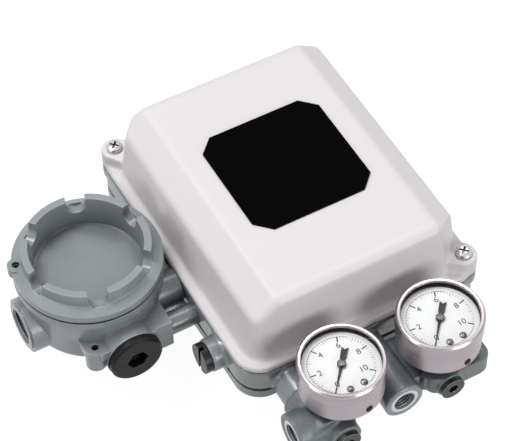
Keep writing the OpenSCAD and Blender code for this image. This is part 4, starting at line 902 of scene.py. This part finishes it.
# Dial pins: two turned steel pins with domed heads, pressed into each dial under
# its spindle.
pin_reach, pin_r, pin_crown = 14.3 * MM, 1.9 * MM, 0.68
pin_angles = (radians(-72), radians(-103))
pin_steel = turned("pin_steel", linear(236, 236, 238), linear(190, 190, 193),
                   along=(900.0, 900.0, 900.0), rough=0.28)
for side in gauge_sides:
    middle = dial_middle(side)
    pins = []
    for angle in pin_angles:
        seat = (middle[0] + pin_reach * cos(angle), middle[1] + pin_reach * sin(angle), dial_face)
        bpy.ops.object.select_all(action="DESELECT")
        bpy.ops.mesh.primitive_uv_sphere_add(segments=32, ring_count=16, radius=pin_r, location=seat)
        dome = bpy.context.active_object
        dome.scale = (1.0, 1.0, pin_crown)
        bpy.ops.object.transform_apply(location=True, rotation=True, scale=True)
        bpy.ops.object.mode_set(mode="EDIT")
        bpy.ops.mesh.select_all(action="SELECT")
        bpy.ops.mesh.bisect(plane_co=seat, plane_no=(0.0, 0.0, 1.0), clear_inner=True, use_fill=True)
        bpy.ops.object.mode_set(mode="OBJECT")
        pins.append(dome)
    domes = joined(pins, side + "_dial_pins")
    bpy.ops.object.shade_smooth_by_angle(angle=radians(50))
    domes.data.materials.append(pin_steel)
    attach(domes, "housing")

# Dial liners: a thin black ring stands between each dial and its glass, and holds the dial down. Its black
# stands in for the shade inside the bezel, a painted shade.
liner_r, liner_h, liner_wall, liner_lift = 19.6 * MM, 2.2 * MM, 0.4 * MM, 1.15 * MM
liner_rim = 0.1 * MM
liner_shade_black = coated("liner_shade_black", linear(9, 9, 10), linear(6, 6, 7), linear(14, 14, 15), lumps=500.0,
                     pits=3000.0, rough=0.6, relief=0.00002, ease=0.0002, painted_shade_share=0.2, gloss=0.05)
for side in gauge_sides:
    middle = dial_middle(side)
    bpy.ops.object.select_all(action="DESELECT")
    bpy.ops.mesh.primitive_cylinder_add(vertices=96, radius=liner_r, depth=liner_h, end_fill_type="NOTHING",
                                        location=(*middle, dial_face + liner_lift))
    liner = bpy.context.active_object
    liner.name = side + "_dial_liner"
    bpy.ops.object.transform_apply(location=True, rotation=True, scale=True)
    thickened(liner, liner_wall, -1.0)
    eased_rims(liner, liner_rim)
    liner.data.materials.append(liner_shade_black)
    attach(liner, "housing")

# Pointers: blanked from thin sheet and blackened, each on a turned steel hub with
# a screwdriver slot across it.
hub_r, hub_h, hub_level, hub_rim = 1.9 * MM, 0.4 * MM, 51.1 * MM, 0.06 * MM
hub_slot, hub_slot_deep = 0.2 * MM, 0.22 * MM
pointer_black = coated("pointer_black", linear(14, 14, 15), linear(9, 9, 10), linear(30, 30, 32),
                       lumps=400.0, pits=3000.0, rough=0.42, relief=0.00002, ease=0.0002, painted_shade_share=0.1,
                       gloss=0.2)
for side in gauge_sides:
    dress(pointer_black, side + "_gauge_pointer")
    middle = dial_middle(side)
    bpy.ops.object.select_all(action="DESELECT")
    bpy.ops.mesh.primitive_cylinder_add(vertices=48, radius=hub_r, depth=hub_h, location=(*middle, hub_level))
    hub = bpy.context.active_object
    hub.name = side + "_pointer_hub"
    bpy.ops.object.transform_apply(location=True, rotation=True, scale=True)
    bpy.ops.object.mode_set(mode="EDIT")
    for offset in (-hub_slot, hub_slot):
        bpy.ops.mesh.select_all(action="SELECT")
        bpy.ops.mesh.bisect(plane_co=(middle[0] + offset, middle[1], 0.0), plane_no=(1.0, 0.0, 0.0))
    bpy.ops.mesh.select_all(action="DESELECT")
    bpy.ops.object.mode_set(mode="OBJECT")
    for face in hub.data.polygons:
        face.select = face.normal.z > 0.9 and abs(face.center.x - middle[0]) < hub_slot / 2
    bpy.ops.object.mode_set(mode="EDIT")
    bpy.ops.mesh.extrude_region_move(TRANSFORM_OT_translate={"value": (0.0, 0.0, -hub_slot_deep)})
    bpy.ops.object.mode_set(mode="OBJECT")
    eased_rims(hub, hub_rim)
    hub.data.materials.append(pin_steel)
    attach(hub, side + "_pointer")

# Vent plugs: a small black rubber plug fills the round vent hole in the wall of each gauge case. Its black
# stands in for the shade inside the hole, a painted shade.
vent_r, vent_h, vent_rim = 1.9 * MM, 0.8 * MM, 0.3 * MM
vent_turn, vent_level = radians(-81), 37.3 * MM
vent_way = Vector((cos(vent_turn), sin(vent_turn), 0.0))
for side in gauge_sides:
    low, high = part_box(side + "_gauge_case")
    vent_seat = Vector((*dial_middle(side), low.z)) + vent_way * (high.x - low.x) / 2
    vent_seat.z = vent_level
    bpy.ops.object.select_all(action="DESELECT")
    bpy.ops.mesh.primitive_cylinder_add(vertices=48, radius=vent_r, depth=vent_h, location=vent_seat,
                                        rotation=vent_way.to_track_quat("Z", "Y").to_euler())
    plug = bpy.context.active_object
    plug.name = side + "_vent_plug"
    bpy.ops.object.transform_apply(location=True, rotation=True, scale=True)
    eased_rims(plug, vent_rim, 3)
    plug.data.materials.append(seal_rubber)
    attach(plug, "housing")
